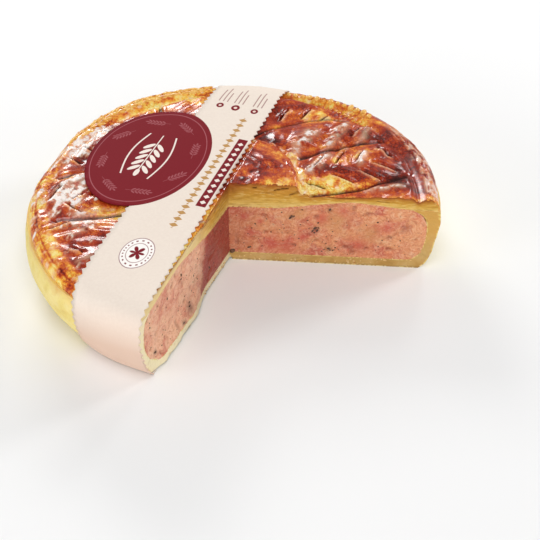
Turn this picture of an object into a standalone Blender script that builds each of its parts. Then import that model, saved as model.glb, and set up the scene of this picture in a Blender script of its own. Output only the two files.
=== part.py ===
"""A round meat pie with one slice cut out, in its paper band.

The frame: metres, +Z up, the origin at the middle of the pie's base, +X to the right of the open
cut and +Y to the back. Four pieces: the base crust with its standing wall, the filling, the scored
lid that is crimped on to the wall, and the band of printed card that runs round the whole pie.
"""
import math

import bmesh
import bpy
from mathutils import Matrix, Vector, geometry

MM = 0.001

# Driving dimensions of the pie
RIM_RADIUS = 85 * MM
SEAM_HEIGHT = 31 * MM
LID_LEVEL = 36.2 * MM
BASE_THICKNESS = 4.3 * MM
GAP = 0.35 * MM
MERGE = 0.01 * MM
SHARP_ANGLE = math.radians(40)

# The rim isn't quite round: waves round it, each with its strength as a share of the radius and its turn
RIM_WAVES = ((1, 0.012, math.radians(125)), (3, 0.004, math.radians(40)), (5, 0.003, 0))

# The cut: its upright corner stands close to the middle, and two knife cuts leave it
CORNER = Vector((-3.7 * MM, -2.0 * MM, 0))
RIGHT_CUT = math.radians(-5.6)
LEFT_CUT = math.radians(246.0)

# The raised round of pastry in the middle of the lid
BOSS_CENTRE = (0, 4 * MM)
BOSS_RADIUS = 27.5 * MM
BOSS_SLOPE = 6 * MM
BOSS_RISE = 5.6 * MM

# The groove that sets the rim off, and the rim's crest outside it
GROOVE_RADIUS = 75.5 * MM
GROOVE_WIDTH = 2.6 * MM
GROOVE_DEPTH = 1.1 * MM
CREST_RADIUS = 80.5 * MM
CREST_WIDTH = 4 * MM
CREST_RISE = 0.9 * MM

# Leaves scored in the lid: the azimuth of each furrow at the boss and at the groove, in degrees
FURROWS = ((-52, -40), (-8, 6), (41, 26), (88, 38), (133, 98), (178, 160), (202, 198), (252, 246), (308, 320))
FURROW_START = 30 * MM
FURROW_WIDTH = 3.8 * MM
FURROW_DEPTH = 2.2 * MM
LEAF_RISE = 1.2 * MM
RIB_PITCH = 10 * MM
RIB_DEPTH = 0.5 * MM

# Crimp marks, pressed into the rim along the back
CRIMP_PITCH = 3.8 * MM
CRIMP_SIZE = 1.8 * MM
CRIMP_LENGTH = 7 * MM
CRIMP_FROM = math.radians(30)
CRIMP_TO = math.radians(165)
CRIMP_TILT = math.radians(38)
CRIMP_SINK = 0.2 * MM
CRIMP_REACH = 0.995

# The band: its direction towards the front, its edges beside the pie's middle, and its card. Each row
# of its blank is half a tooth of the zigzag edge. BESIDE_CUT is where the first section is taken, as
# near the cut as the whole pie reaches, and the card is creased along every row past BEND_FROM.
BAND_AZIMUTH = math.radians(-111.1)
BAND_RIGHT = -5.5 * MM
BAND_LEFT = -36.6 * MM
BESIDE_CUT = -7.8 * MM
CARD = 0.4 * MM
CARD_CLEARANCE = 0.2 * MM
BAND_GAP = 0.5 * MM
SHOWN_ROWS = 128
UNDER_ROWS = 8
TOOTH_DEPTH = 1.1 * MM
BEND_FROM = 66 * MM
FLAT_CREASES = 6
HULL_SIDES = 12

# The oval label on its left edge
LABEL_SIDES = 28
LABEL_ALONG = -8.2 * MM
LABEL_ACROSS = -44.5 * MM
LABEL_LENGTH = 73 * MM
LABEL_WIDTH = 50 * MM

# The pastry is pressed down under the band, and hollowed a little under the base
BED_LEVEL = 37.6 * MM
BED_EDGE = -4 * MM
BED_SLOPE = 2
RECESS_HEIGHT = 1.15 * MM
RECESS_RIGHT = -1.7 * MM
RECESS_LEFT = -38 * MM

ALONG = Vector((math.cos(BAND_AZIMUTH), math.sin(BAND_AZIMUTH), 0))
ACROSS = Vector((-ALONG.y, ALONG.x, 0))


def smooth(t):
    """A soft step from 0 to 1."""
    t = min(max(t, 0.0), 1.0)
    return t * t * (3 - 2 * t)


def mix(a, b, t):
    return a + (b - a) * t


def rim_distance(angle):
    """How far the rim is from the cut's corner, in one direction. The outline is a little uneven."""
    direction = Vector((math.cos(angle), math.sin(angle), 0))
    inward = CORNER.dot(direction)
    distance = math.sqrt(inward * inward - CORNER.length_squared + RIM_RADIUS ** 2) - inward
    uneven = sum(strength * math.cos(count * angle + turn) for count, strength, turn in RIM_WAVES)
    return distance * (1 + uneven)


def leaf_relief(radius, azimuth):
    """Height of the scored leaves: furrows between them, a swell on each, and slanting ribs."""
    run = min(max((radius - FURROW_START) / (GROOVE_RADIUS - FURROW_START), 0.0), 1.0)
    degrees = math.degrees(azimuth)
    if degrees < mix(*FURROWS[0], run):
        degrees += 360
    for first, second in zip(FURROWS, FURROWS[1:]):
        low = mix(*first, run)
        high = mix(*second, run)
        if low <= degrees < high:
            share = (degrees - low) / (high - low)
            width = math.radians(high - low) * radius
            to_furrow = min(share, 1 - share) * width
            from_vein = abs(share - 0.5) * width
            furrow = FURROW_DEPTH * math.exp(-(to_furrow / FURROW_WIDTH) ** 2)
            swell = math.sin(math.pi * share)
            ribs = RIB_DEPTH * math.cos(2 * math.pi * (radius - from_vein) / RIB_PITCH)
            return swell * (LEAF_RISE + ribs) - furrow
    return 0.0


def lid_relief(x, y):
    """Height of the lid's top over its level."""
    radius = math.hypot(x, y)
    azimuth = math.atan2(y, x)
    from_boss = math.hypot(x - BOSS_CENTRE[0], y - BOSS_CENTRE[1])
    boss = BOSS_RISE * smooth((BOSS_RADIUS - from_boss) / BOSS_SLOPE + 0.5)
    leaves = smooth((from_boss - BOSS_RADIUS) / BOSS_SLOPE) * smooth((GROOVE_RADIUS - radius) / BOSS_SLOPE)
    groove = GROOVE_DEPTH * math.exp(-((radius - GROOVE_RADIUS) / GROOVE_WIDTH) ** 2)
    crest = CREST_RISE * math.exp(-((radius - CREST_RADIUS) / CREST_WIDTH) ** 2)
    across = x * ACROSS.x + y * ACROSS.y
    bed = BED_LEVEL - LID_LEVEL + max(across - BED_EDGE, 0) * BED_SLOPE
    return min(boss + leaves * leaf_relief(radius, azimuth) - groove + crest, bed)


# Sections of the pieces, each point a share of the way to the rim and a height
UNDER_LID = ((0, 28.7), (0.24, 29.0), (0.38, 31.2), (0.58, 33.9), (0.79, 31.9), (0.87, 31.0))
WALL_OUTSIDE = ((1.02, 31.0), (1.03, 25.5), (1.025, 20.5), (1.005, 10.5), (0.975, 3.4), (0.947, 0.7), (0.93, 0))
WALL_INSIDE = ((0.89, 4.3), (0.945, 8.5), (0.962, 16), (0.962, 23.5), (0.935, 28.3), (0.88, 31.0))
LID_RINGS = 28
LID_EDGE = 0.965
FIRST_RING = 0.3
LID_SIDE = ((0.99, 35.9), (1.006, 34.2), (1.012, 32.6), (1.01, 31.0))
LID_STEPS = 100
PIE_STEPS = 60


def section_of_lid():
    rings = [0, FIRST_RING] + list(range(1, LID_RINGS + 1))
    top = [(LID_EDGE * ring / LID_RINGS, LID_LEVEL) for ring in rings]
    side = [(share, height * MM) for share, height in LID_SIDE]
    under = [(share, height * MM + GAP / 2) for share, height in reversed(UNDER_LID)]
    side[-1] = (side[-1][0], side[-1][1] + GAP / 2)
    return top + side + under


def section_of_filling():
    top = [(share, height * MM - GAP / 2) for share, height in UNDER_LID]
    inset = GAP / RIM_RADIUS
    side = []
    for share, height in reversed(WALL_INSIDE[:-1]):
        lean = math.cos(math.pi * (height * MM - BASE_THICKNESS) / (SEAM_HEIGHT - BASE_THICKNESS))
        side.append((share - inset, height * MM + GAP * lean))
    return top + side + [(0, BASE_THICKNESS + GAP)]


def section_of_base():
    top = SEAM_HEIGHT - GAP / 2
    inside = [(share, min(height * MM, top)) for share, height in WALL_INSIDE]
    outside = [(share, min(height * MM, top)) for share, height in WALL_OUTSIDE]
    return [(0, BASE_THICKNESS)] + inside + outside + [(0, 0)]


def cut_pie(name, section, steps, collection):
    """Spins a section about the cut's corner, from one knife cut to the other, out to the uneven rim."""
    bm = bmesh.new()
    start = Vector((math.cos(RIGHT_CUT), math.sin(RIGHT_CUT), 0))
    points = [start * share * RIM_RADIUS + Vector((0, 0, height)) for share, height in section]
    face = bm.faces.new([bm.verts.new(point) for point in points])
    region = [face] + list(face.edges) + list(face.verts)
    bmesh.ops.spin(bm, geom=region, cent=(0, 0, 0), axis=(0, 0, 1), angle=LEFT_CUT - RIGHT_CUT, steps=steps)
    bmesh.ops.remove_doubles(bm, verts=bm.verts, dist=MERGE)
    bmesh.ops.dissolve_degenerate(bm, edges=bm.edges, dist=MERGE)
    for vert in bm.verts:
        angle = math.atan2(vert.co.y, vert.co.x)
        stretch = rim_distance(angle) / RIM_RADIUS
        vert.co.x = vert.co.x * stretch + CORNER.x
        vert.co.y = vert.co.y * stretch + CORNER.y
    bmesh.ops.recalc_face_normals(bm, faces=bm.faces)
    return new_object(name, bm, collection)


def new_object(name, bm, collection):
    mesh = bpy.data.meshes.new(name)
    bm.to_mesh(mesh)
    bm.free()
    mesh.shade_smooth()
    mesh.set_sharp_from_angle(angle=SHARP_ANGLE)
    piece = bpy.data.objects.new(name, mesh)
    collection.objects.link(piece)
    return piece


def raise_lid(lid):
    """Scores the lid: every point of its top takes the relief's height."""
    for vert in lid.data.vertices:
        if vert.co.z > LID_LEVEL - MERGE:
            vert.co.z += lid_relief(vert.co.x, vert.co.y)


def cut_away(piece, cutter):
    """Takes the cutter out of the piece with a Boolean, which stays on it."""
    cutter.hide_render = True
    cutter.display_type = "WIRE"
    boolean = piece.modifiers.new("Cut " + cutter.name, "BOOLEAN")
    boolean.operation = "DIFFERENCE"
    boolean.solver = "EXACT"
    boolean.object = cutter


def crimp_cutter(collection):
    """Square bars on edge, laid across the rim: each leaves one pressed mark."""
    bm = bmesh.new()
    count = int((CRIMP_TO - CRIMP_FROM) * CREST_RADIUS / CRIMP_PITCH)
    for index in range(count + 1):
        azimuth = mix(CRIMP_FROM, CRIMP_TO, index / count)
        outward = Vector((math.cos(azimuth), math.sin(azimuth), 0))
        rim = CORNER + outward * rim_distance(azimuth) * CRIMP_REACH
        place = Matrix.Translation(rim + Vector((0, 0, LID_LEVEL - CRIMP_SINK)))
        place @= Matrix.Rotation(azimuth, 4, "Z")
        place @= Matrix.Rotation(CRIMP_TILT, 4, "Y")
        place @= Matrix.Rotation(math.pi / 4, 4, "X")
        place @= Matrix.Diagonal((CRIMP_LENGTH, CRIMP_SIZE, CRIMP_SIZE, 1))
        bmesh.ops.create_cube(bm, size=1, matrix=place)
    return new_object("crimp_cutter", bm, collection)


def recess_cutter(collection):
    """A long flat box under the base, where the band passes."""
    bm = bmesh.new()
    middle = ACROSS * (RECESS_LEFT + RECESS_RIGHT) / 2
    turn = Matrix.Rotation(BAND_AZIMUTH, 4, "Z")
    size = Matrix.Diagonal((3 * RIM_RADIUS, RECESS_RIGHT - RECESS_LEFT, 2 * RECESS_HEIGHT, 1))
    bmesh.ops.create_cube(bm, size=1, matrix=Matrix.Translation(middle) @ turn @ size)
    return new_object("recess_cutter", bm, collection)


def section_points(pieces, across):
    """Where the upright plane at one offset across the band meets the pie: points (along, height)."""
    points = []
    for piece in pieces:
        bm = bmesh.new()
        bm.from_mesh(piece.data)
        everything = list(bm.verts) + list(bm.edges) + list(bm.faces)
        cut = bmesh.ops.bisect_plane(bm, geom=everything, plane_co=ACROSS * across, plane_no=ACROSS)
        for item in cut["geom_cut"]:
            if isinstance(item, bmesh.types.BMVert):
                points.append((item.co.dot(ALONG), item.co.z))
        bm.free()
    return points


def taut_loop(points):
    """The card's mid line when it is pulled tight round a section, at its gap from the pastry."""
    offset = BAND_GAP + CARD / 2
    floor = CARD_CLEARANCE + CARD / 2
    grown = []
    for along, height in points:
        for turn in range(HULL_SIDES):
            angle = 2 * math.pi * turn / HULL_SIDES
            z = max(height + offset * math.sin(angle), floor)
            grown.append(Vector((along + offset * math.cos(angle), z)))
    return [grown[index] for index in geometry.convex_hull_2d(grown)]


def spread(corners, count):
    """Points at an even spacing along an open line, its last end left off."""
    lengths = [(b - a).length for a, b in zip(corners, corners[1:])]
    step = sum(lengths) / count
    points = []
    travelled = 0.0
    for a, b, length in zip(corners, corners[1:], lengths):
        while len(points) < count and len(points) * step < travelled + length:
            points.append(a.lerp(b, (len(points) * step - travelled) / length))
        travelled += length
    return points


def band_rows(loop):
    """The rows of one taut loop: over the pie from the front's foot to the back's, then back below it."""
    floor = min(point.y for point in loop) + MERGE
    front = loop.index(max((point for point in loop if point.y < floor), key=lambda point: point.x))
    loop = loop[front:] + loop[:front]
    back = loop.index(min((point for point in loop if point.y < floor), key=lambda point: point.x))
    return spread(loop[:back + 1], SHOWN_ROWS) + spread([loop[back], loop[0]], UNDER_ROWS) + [loop[0]]


def paper_band(pieces, collection):
    """Cuts the band's flat blank, creases it where it bends, and wraps it tight round the pie."""
    label_edge = LABEL_ACROSS - LABEL_WIDTH / 2
    stations = [mix(BESIDE_CUT, BAND_LEFT, third / 3) for third in range(4)]
    stations += [mix(BAND_LEFT, label_edge, third / 3) for third in range(1, 4)]
    rows = [band_rows(taut_loop(section_points(pieces, across))) for across in stations]
    row_count = SHOWN_ROWS + UNDER_ROWS

    def wrap(place, across):
        """The spot (along, height) of a point of the blank."""
        index = min(int(place), row_count - 1)
        station = 0
        while station < len(stations) - 2 and across < stations[station + 1]:
            station += 1
        share = (across - stations[station]) / (stations[station + 1] - stations[station])
        near = rows[station][index].lerp(rows[station][index + 1], place - index)
        far = rows[station + 1][index].lerp(rows[station + 1][index + 1], place - index)
        return near.lerp(far, share)

    def place_over(along, across):
        """The place on the blank that comes to lie at a given spot on top of the pie."""
        row = next(row for row in range(SHOWN_ROWS // 4, SHOWN_ROWS) if wrap(row, across).x < along)
        before = wrap(row - 1, across).x
        after = wrap(row, across).x
        return row - (along - after) / (before - after)

    def edge(row, mean):
        tooth = TOOTH_DEPTH / 2 if row % 2 else -TOOTH_DEPTH / 2
        return Vector((row, mean + tooth if 0 < row < SHOWN_ROWS else mean, 0))

    label = []
    lean = math.asin((BAND_LEFT - LABEL_ACROSS) / (LABEL_WIDTH / 2))
    for turn in range(LABEL_SIDES + 1):
        angle = mix(-lean, math.pi + lean, turn / LABEL_SIDES)
        across = LABEL_ACROSS - LABEL_WIDTH / 2 * math.sin(angle)
        along = LABEL_ALONG + LABEL_LENGTH / 2 * math.cos(angle)
        label.append(Vector((place_over(along, across), across, 0)))
    right_edge = [edge(row, BAND_RIGHT) for row in range(row_count + 1)]
    left_edge = [edge(row, BAND_LEFT) for row in range(int(label[0].x + 0.5))] + label
    left_edge += [edge(row, BAND_LEFT) for row in range(int(label[-1].x + 0.5) + 1, row_count + 1)]

    bm = bmesh.new()
    bm.faces.new([bm.verts.new(point) for point in right_edge + left_edge[::-1]])
    creases = [((0, across, 0), (0, 1, 0)) for across in stations[1:-1] if across != BAND_LEFT]
    for row in range(1, row_count):
        if row % FLAT_CREASES == 0 or abs(wrap(row, BAND_LEFT).x) > BEND_FROM:
            creases.append(((row, 0, 0), (1, 0, 0)))
    for point, direction in creases:
        everything = list(bm.verts) + list(bm.edges) + list(bm.faces)
        bmesh.ops.bisect_plane(bm, geom=everything, dist=MERGE, plane_co=point, plane_no=direction)
    bmesh.ops.triangulate(bm, faces=bm.faces)
    for vert in bm.verts:
        spot = wrap(vert.co.x, vert.co.y)
        vert.co = ALONG * spot.x + ACROSS * vert.co.y + Vector((0, 0, spot.y))
    bmesh.ops.remove_doubles(bm, verts=bm.verts, dist=MERGE)
    bmesh.ops.recalc_face_normals(bm, faces=bm.faces)
    band = new_object("paper_band", bm, collection)
    card = band.modifiers.new("Card", "SOLIDIFY")
    card.thickness = CARD
    card.offset = 0
    return band


def finish(piece, colour, roughness):
    """One plain material for a piece."""
    material = bpy.data.materials.new(piece.name)
    material.use_nodes = True
    shader = material.node_tree.nodes["Principled BSDF"]
    shader.inputs["Base Color"].default_value = (*colour, 1)
    shader.inputs["Roughness"].default_value = roughness
    piece.data.materials.append(material)


def main():
    for old in list(bpy.data.objects):
        bpy.data.objects.remove(old, do_unlink=True)
    pie = bpy.data.collections.new("meat_pie")
    cutters = bpy.data.collections.new("cutters")
    for collection in (pie, cutters):
        bpy.context.scene.collection.children.link(collection)

    base = cut_pie("base_crust", section_of_base(), PIE_STEPS, pie)
    filling = cut_pie("filling", section_of_filling(), PIE_STEPS, pie)
    lid = cut_pie("lid", section_of_lid(), LID_STEPS, pie)
    raise_lid(lid)
    band = paper_band((base, lid), pie)
    cut_away(base, recess_cutter(cutters))
    cut_away(lid, crimp_cutter(cutters))

    finish(base, (0.80, 0.66, 0.30), 0.6)
    finish(filling, (0.62, 0.25, 0.19), 0.55)
    finish(lid, (0.50, 0.16, 0.04), 0.3)
    finish(band, (0.87, 0.78, 0.69), 0.5)


main()
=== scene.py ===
"""The looks of a round meat pie with a wedge cut out, in its paper band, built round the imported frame.

Mesh functions work in millimetres, in the frame's own axes, and each mesh is written in metres.
"""
import math

import bmesh
import bpy
import numpy as np
from mathutils import Matrix, Vector, geometry


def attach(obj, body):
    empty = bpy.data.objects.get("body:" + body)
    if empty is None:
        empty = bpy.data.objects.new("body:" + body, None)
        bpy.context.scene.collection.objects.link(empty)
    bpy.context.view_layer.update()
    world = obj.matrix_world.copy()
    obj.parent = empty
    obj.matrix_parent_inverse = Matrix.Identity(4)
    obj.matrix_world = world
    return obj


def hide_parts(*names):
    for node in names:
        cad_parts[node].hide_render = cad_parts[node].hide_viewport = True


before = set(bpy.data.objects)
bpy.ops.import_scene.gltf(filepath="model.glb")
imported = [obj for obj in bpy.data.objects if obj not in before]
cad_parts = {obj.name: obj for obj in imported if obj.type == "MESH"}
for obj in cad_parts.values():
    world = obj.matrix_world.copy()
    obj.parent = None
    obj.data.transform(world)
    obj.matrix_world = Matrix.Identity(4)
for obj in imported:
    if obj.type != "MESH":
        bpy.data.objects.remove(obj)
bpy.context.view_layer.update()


# The base crust: one round of shortcrust pressed into a tin, its wall standing up to the seam where
# the lid is sealed on. It baked pale lemon against the tin. Two straight knife cuts open it, and its
# underside is a little hollow where the band passes.
MM = 0.001
CORNER = np.array((-3.7, -2.0))
RIGHT_CUT = math.radians(-5.6)
LEFT_CUT = math.radians(246.0)
RIM_RADIUS = 85
RIM_WAVES = ((1, 0.012, math.radians(125)), (3, 0.004, math.radians(40)), (5, 0.003, 0))

# Where the baked pie stands further out or in than its tin's round: degrees, width and share of the radius,
# and the shares between which that fades in
RIM_LEANS = ((-4, 13, -0.018), (27, 15, 0.016), (47, 10, 0.012), (84, 24, -0.010),
             (147, 18, -0.026), (163, 8, -0.020))
LEAN_SHARES = (0.8, 1.0)

# Where the wall's foot is drawn in, in the same way, and the heights and shares between which that fades in
FOOT_TUCKS = ((217, 15, 0.026), (246, 14, 0.034))
TUCK_HEIGHTS = (18, 2)
TUCK_SHARES = (0.8, 0.93)
BASE_THICKNESS = 4.3
SEAM_HEIGHT = 31
CRUST_OUTSIDE = ((0, 0), (0.3, 0), (0.6, 0), (0.85, 0), (0.93, 0), (0.947, 0.7), (0.975, 3.4),
                 (1.005, 10.5), (1.022, 20.5), (1.026, 25.5), (1.018, 31.0))
CRUST_INSIDE = ((0, 4.3), (0.3, 4.4), (0.6, 4.3), (0.8, 4.3), (0.87, 4.4), (0.9, 5.4), (0.935, 8),
                (0.957, 14), (0.962, 22), (0.94, 28), (0.88, 31.0))
CRUST_STEP = 0.7
CRUST_LAYERS = 8
WALL_STEP = 1.1
WALL_FROM = 0.4
HIDDEN_STEP = 4
FEWEST_IN_ROW = 4
FINE_PLACES = 2001
LATTICE = 101

# The crust's cut face laid flat: how long and how thick it is
CUT_LENGTH = 160
CUT_THICKNESS = 7

# The wall's belly on the left: its middle and reach, each in degrees and height, and its share of the radius
BELLY_MIDDLE = (196, 18)
BELLY_REACH = (22, 11)
BELLY_SHARE = 0.024

# The left cut's foot: how far it spreads, over which angle, and between which distances and heights it fades
FOOT_SPREAD = 2.6
FOOT_REACH = math.radians(8)
FOOT_BEGINS = (24, 40)
FOOT_ENDS = (82, 66)
FOOT_HEIGHTS = (13, 2)

# The band's direction, and the recess under the base through which it passes
BAND_AZIMUTH = math.radians(-111.1)
ALONG = np.array((math.cos(BAND_AZIMUTH), math.sin(BAND_AZIMUTH)))
ACROSS = np.array((-ALONG[1], ALONG[0]))
RECESS_HEIGHT = 1.15
RECESS_RIGHT = -1.7
RECESS_LEFT = -38
RECESS_SIDE = 0.05

# How near two points count as one: millimetres in a weld, metres in a cut. Then the angle from which an
# edge stays sharp
WELD = 0.002
SNAP = 1e-7
SHARP_ANGLE = math.radians(62)


def paint(code):
    """The linear colour of six hex digits."""
    screen = [int(code[k:k + 2], 16) / 255 for k in (0, 2, 4)]
    return [v / 12.92 if v <= 0.04045 else ((v + 0.055) / 1.055) ** 2.4 for v in screen] + [1]


def mix(a, b, share):
    return a + (b - a) * share


def smooth(low, high, values):
    """A soft step from 0 at low to 1 at high."""
    t = np.clip((values - low) / (high - low), 0, 1)
    return t * t * (3 - 2 * t)


def bell(values, width):
    return np.exp(-(values / width) ** 2)


def bumps(x, y, size, seed):
    """Smooth random heights from -1 to 1, each bump about one size across."""
    lattice = np.random.default_rng(seed).uniform(-1, 1, (LATTICE, LATTICE))
    u, v = x / size, y / size
    i, j = np.floor(u).astype(int), np.floor(v).astype(int)
    a, b = u - i, v - j
    a, b = a ** 3 * (a * (a * 6 - 15) + 10), b ** 3 * (b * (b * 6 - 15) + 10)
    near = mix(lattice[i % LATTICE, j % LATTICE], lattice[(i + 1) % LATTICE, j % LATTICE], a)
    far = mix(lattice[i % LATTICE, (j + 1) % LATTICE], lattice[(i + 1) % LATTICE, (j + 1) % LATTICE], a)
    return mix(near, far, b)


def rough(x, y, size, seed):
    """Three layers of bumps, each half the size and strength of the one before."""
    return sum(bumps(x, y, size / 2 ** k, seed + k) / 2 ** k for k in range(3)) / (1 + 1 / 2 + 1 / 4)


def rim_distance(angle):
    """How far the rim is from the cut's corner."""
    inward = CORNER[0] * np.cos(angle) + CORNER[1] * np.sin(angle)
    distance = np.sqrt(inward ** 2 - CORNER @ CORNER + RIM_RADIUS ** 2) - inward
    return distance * (1 + sum(s * np.cos(n * angle + turn) for n, s, turn in RIM_WAVES))


def at_share(angle, share):
    """The point that lies a share of the way from the cut's corner to the rim."""
    lean = sum(amount * bell(np.degrees(angle) - middle, width) for middle, width, amount in RIM_LEANS)
    reach = rim_distance(angle) * (share + lean * smooth(*LEAN_SHARES, share))
    return CORNER[0] + reach * np.cos(angle), CORNER[1] + reach * np.sin(angle)


def smooth_line(knots, places):
    """Points of a smooth line through the knots, at places from 0 to 1."""
    knots = np.array(knots, float)
    padded = np.vstack((2 * knots[0] - knots[1], knots, 2 * knots[-1] - knots[-2]))
    run = np.clip(places, 0, 1) * (len(knots) - 1)
    start = np.minimum(run.astype(int), len(knots) - 2)
    t = (run - start)[:, None]
    a, b, c, d = (padded[start + k] for k in range(4))
    double = 2 * b + (c - a) * t + (2 * a - 5 * b + 4 * c - d) * t ** 2 + (3 * b - a - 3 * c + d) * t ** 3
    return 0.5 * double


def arc_lengths(line):
    """How far along a line each of its points is."""
    return np.concatenate(([0], np.cumsum(np.linalg.norm(np.diff(line, axis=0), axis=1))))


def even_places(knots, step):
    """Places from 0 to 1 that lie one step apart along a section's line."""
    fine = np.linspace(0, 1, FINE_PLACES)
    travelled = arc_lengths(smooth_line(knots, fine) * (RIM_RADIUS, 1))
    return np.interp(np.linspace(0, travelled[-1], round(travelled[-1] / step) + 1), travelled, fine)


def into_cut(angle, cut, depth):
    """The offset that sinks a point of a knife cut. cut is 1 on the right face and -1 on the left."""
    return -depth * cut * np.sin(angle), depth * cut * np.cos(angle)


def zip_rows(faces, first, second):
    """Joins two rows of points that run side by side, however many points each has."""
    i, j = 0, 0
    while i < len(first) - 1 or j < len(second) - 1:
        next_first = (i + 1) / (len(first) - 1) if i < len(first) - 1 else math.inf
        next_second = (j + 1) / (len(second) - 1) if j < len(second) - 1 else math.inf
        if next_first <= next_second:
            faces.append((first[i], second[j], first[i + 1]))
            i += 1
        else:
            faces.append((first[i], second[j], second[j + 1]))
            j += 1


def new_object(name, data):
    """A new object, linked to the scene."""
    item = bpy.data.objects.new(name, data)
    bpy.context.scene.collection.objects.link(item)
    return item


def new_mesh(name, points, edges, faces, fields):
    """A mesh from points in millimetres, with a value or a direction a point for each named field."""
    mesh = bpy.data.meshes.new(name)
    mesh.from_pydata((np.stack(points, axis=1) * MM).tolist(), edges, faces)
    for label, data in fields.items():
        kind, key = ("FLOAT", "value") if data.ndim == 1 else ("FLOAT_VECTOR", "vector")
        mesh.attributes.new(label, kind, "POINT").data.foreach_set(key, data.ravel().astype(np.float32))
    return mesh


def welded(name, bm, mesh, distance):
    """One closed piece: its points merged, its faces turned outwards, smooth but for its sharp edges."""
    bmesh.ops.remove_doubles(bm, verts=bm.verts, dist=distance * MM)
    bmesh.ops.recalc_face_normals(bm, faces=bm.faces)
    bm.to_mesh(mesh)
    bm.free()
    mesh.shade_smooth()
    mesh.set_sharp_from_angle(angle=SHARP_ANGLE)
    return new_object(name, mesh)


def cut_block(name, material, shape, v_places, w_places, spacing=None):
    """A closed piece of the cut pie. shape(angle, v, w, cut) gives points and named fields: v runs outwards
    from the cut's corner, and w from the piece's lower or outer skin to its other one. spacing(v, w) gives
    the step round a row, and where there is none the step is that of hidden skin."""
    outline = [(v, 0.0) for v in v_places] + [(1.0, w) for w in w_places[1:]]
    outline += [(v, 1.0) for v in v_places[-2::-1]]
    places, faces, rows = [], [], []
    for v, w in outline:
        around = (LEFT_CUT - RIGHT_CUT) * RIM_RADIUS * v
        step = spacing(v, w) if spacing else HIDDEN_STEP
        count = max(FEWEST_IN_ROW, round(around / step)) if v else 1
        rows.append(range(len(places), len(places) + count))
        places += [(angle, v, w, 0) for angle in np.linspace(RIGHT_CUT, LEFT_CUT, count)]
    for first, second in zip(rows, rows[1:]):
        zip_rows(faces, first, second)
    for angle, cut in ((RIGHT_CUT, 1), (LEFT_CUT, -1)):
        grid = len(places) + np.arange(len(v_places) * len(w_places)).reshape(len(v_places), len(w_places))
        places += [(angle, v, w, cut) for v in v_places for w in w_places]
        corners = (grid[:-1, :-1], grid[1:, :-1], grid[1:, 1:], grid[:-1, 1:])
        faces += np.stack([corner.ravel() for corner in corners], axis=1).tolist()
    points, fields = shape(*(np.array(values, float) for values in zip(*places)))
    mesh = new_mesh(name, points, [], faces, fields)
    mesh.materials.append(material)
    bm = bmesh.new()
    bm.from_mesh(mesh)
    return welded(name, bm, mesh, WELD)


def edge_fade(v, w, v_width, w_width):
    """1 inside a cut face, and 0 along its edges, so that its relief meets the skins."""
    return smooth(0, v_width, np.minimum(v, 1 - v)) * smooth(0, w_width, np.minimum(w, 1 - w))


def foot_spread(angle, out, height):
    """The offset of the left cut's foot, which the knife pushed out into the gap."""
    spread_out = FOOT_SPREAD * smooth(*FOOT_BEGINS, out) * smooth(*FOOT_ENDS, out)
    spread_out = spread_out * smooth(*FOOT_HEIGHTS, height)
    near = smooth(LEFT_CUT - FOOT_REACH, LEFT_CUT, angle)
    ragged = 1 + 0.25 * rough(out, height, 4, 17)
    return into_cut(LEFT_CUT, -1, -spread_out * near * ragged)


def tucked(angle, share, height):
    """The share of the radius by which the wall's foot is drawn in."""
    drawn_in = sum(amount * bell(np.degrees(angle) - middle, width) for middle, width, amount in FOOT_TUCKS)
    return drawn_in * smooth(*TUCK_HEIGHTS, height) * smooth(*TUCK_SHARES, share)


def crust_shape(angle, v, w, cut):
    outside = smooth_line(CRUST_OUTSIDE, v)
    inside = smooth_line(CRUST_INSIDE, v)
    share, height = mix(outside, inside, w[:, None]).T
    height = np.maximum(height, 0)
    standing = smooth(2, 9, height) * (1 - w)
    around = angle * RIM_RADIUS
    uneven = 0.005 * bumps(around, height, 17, 3) + 0.003 * rough(around, height * 2, 6, 4)
    belly = BELLY_SHARE * bell(np.degrees(angle) - BELLY_MIDDLE[0], BELLY_REACH[0])
    belly = belly * bell(height - BELLY_MIDDLE[1], BELLY_REACH[1])
    x, y = at_share(angle, share + standing * (uneven + belly) - tucked(angle, share, height))
    fade = edge_fade(v, w, 0.01, 0.2) * np.abs(cut)
    outwards, through = v * CUT_LENGTH, w * CUT_THICKNESS
    pits = np.maximum(bumps(outwards, through, 1.5, 15), 0) ** 3
    depth = fade * (0.16 * rough(outwards, through, 2.2, 11) + 0.3 * pits)
    dx, dy = into_cut(angle, cut, depth)
    foot_x, foot_y = foot_spread(angle, share * rim_distance(angle), height)
    # Painted light: the left cut face is painted paler, as if lit from the right. Painted shade: the hollows
    # of the cut faces are painted darker.
    fields = {"cut": np.abs(cut), "pit_shade": depth, "pale": (cut < 0).astype(float)}
    return (x + dx + foot_x, y + dy + foot_y, height), fields


def crust_spacing(v, w):
    return WALL_STEP if w == 0 and v > WALL_FROM else HIDDEN_STEP


def hollow_under(piece):
    """Lifts the underside along the band's way to the recess, with a short step at either side."""
    bm = bmesh.new()
    bm.from_mesh(piece.data)
    direction = Vector((*ACROSS, 0))
    for across in (RECESS_RIGHT, RECESS_RIGHT - RECESS_SIDE, RECESS_LEFT + RECESS_SIDE, RECESS_LEFT):
        low = [face for face in bm.faces if min(vert.co.z for vert in face.verts) < RECESS_HEIGHT * MM]
        region = set(low)
        for face in low:
            region.update(face.verts)
            region.update(face.edges)
        place = direction * across * MM
        bmesh.ops.bisect_plane(bm, geom=list(region), dist=SNAP, plane_co=place, plane_no=direction)
    for vert in bm.verts:
        across = vert.co.dot(direction) / MM
        if RECESS_LEFT + RECESS_SIDE / 2 < across < RECESS_RIGHT - RECESS_SIDE / 2:
            vert.co.z = max(vert.co.z, RECESS_HEIGHT * MM)
    bm.to_mesh(piece.data)
    bm.free()


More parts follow.
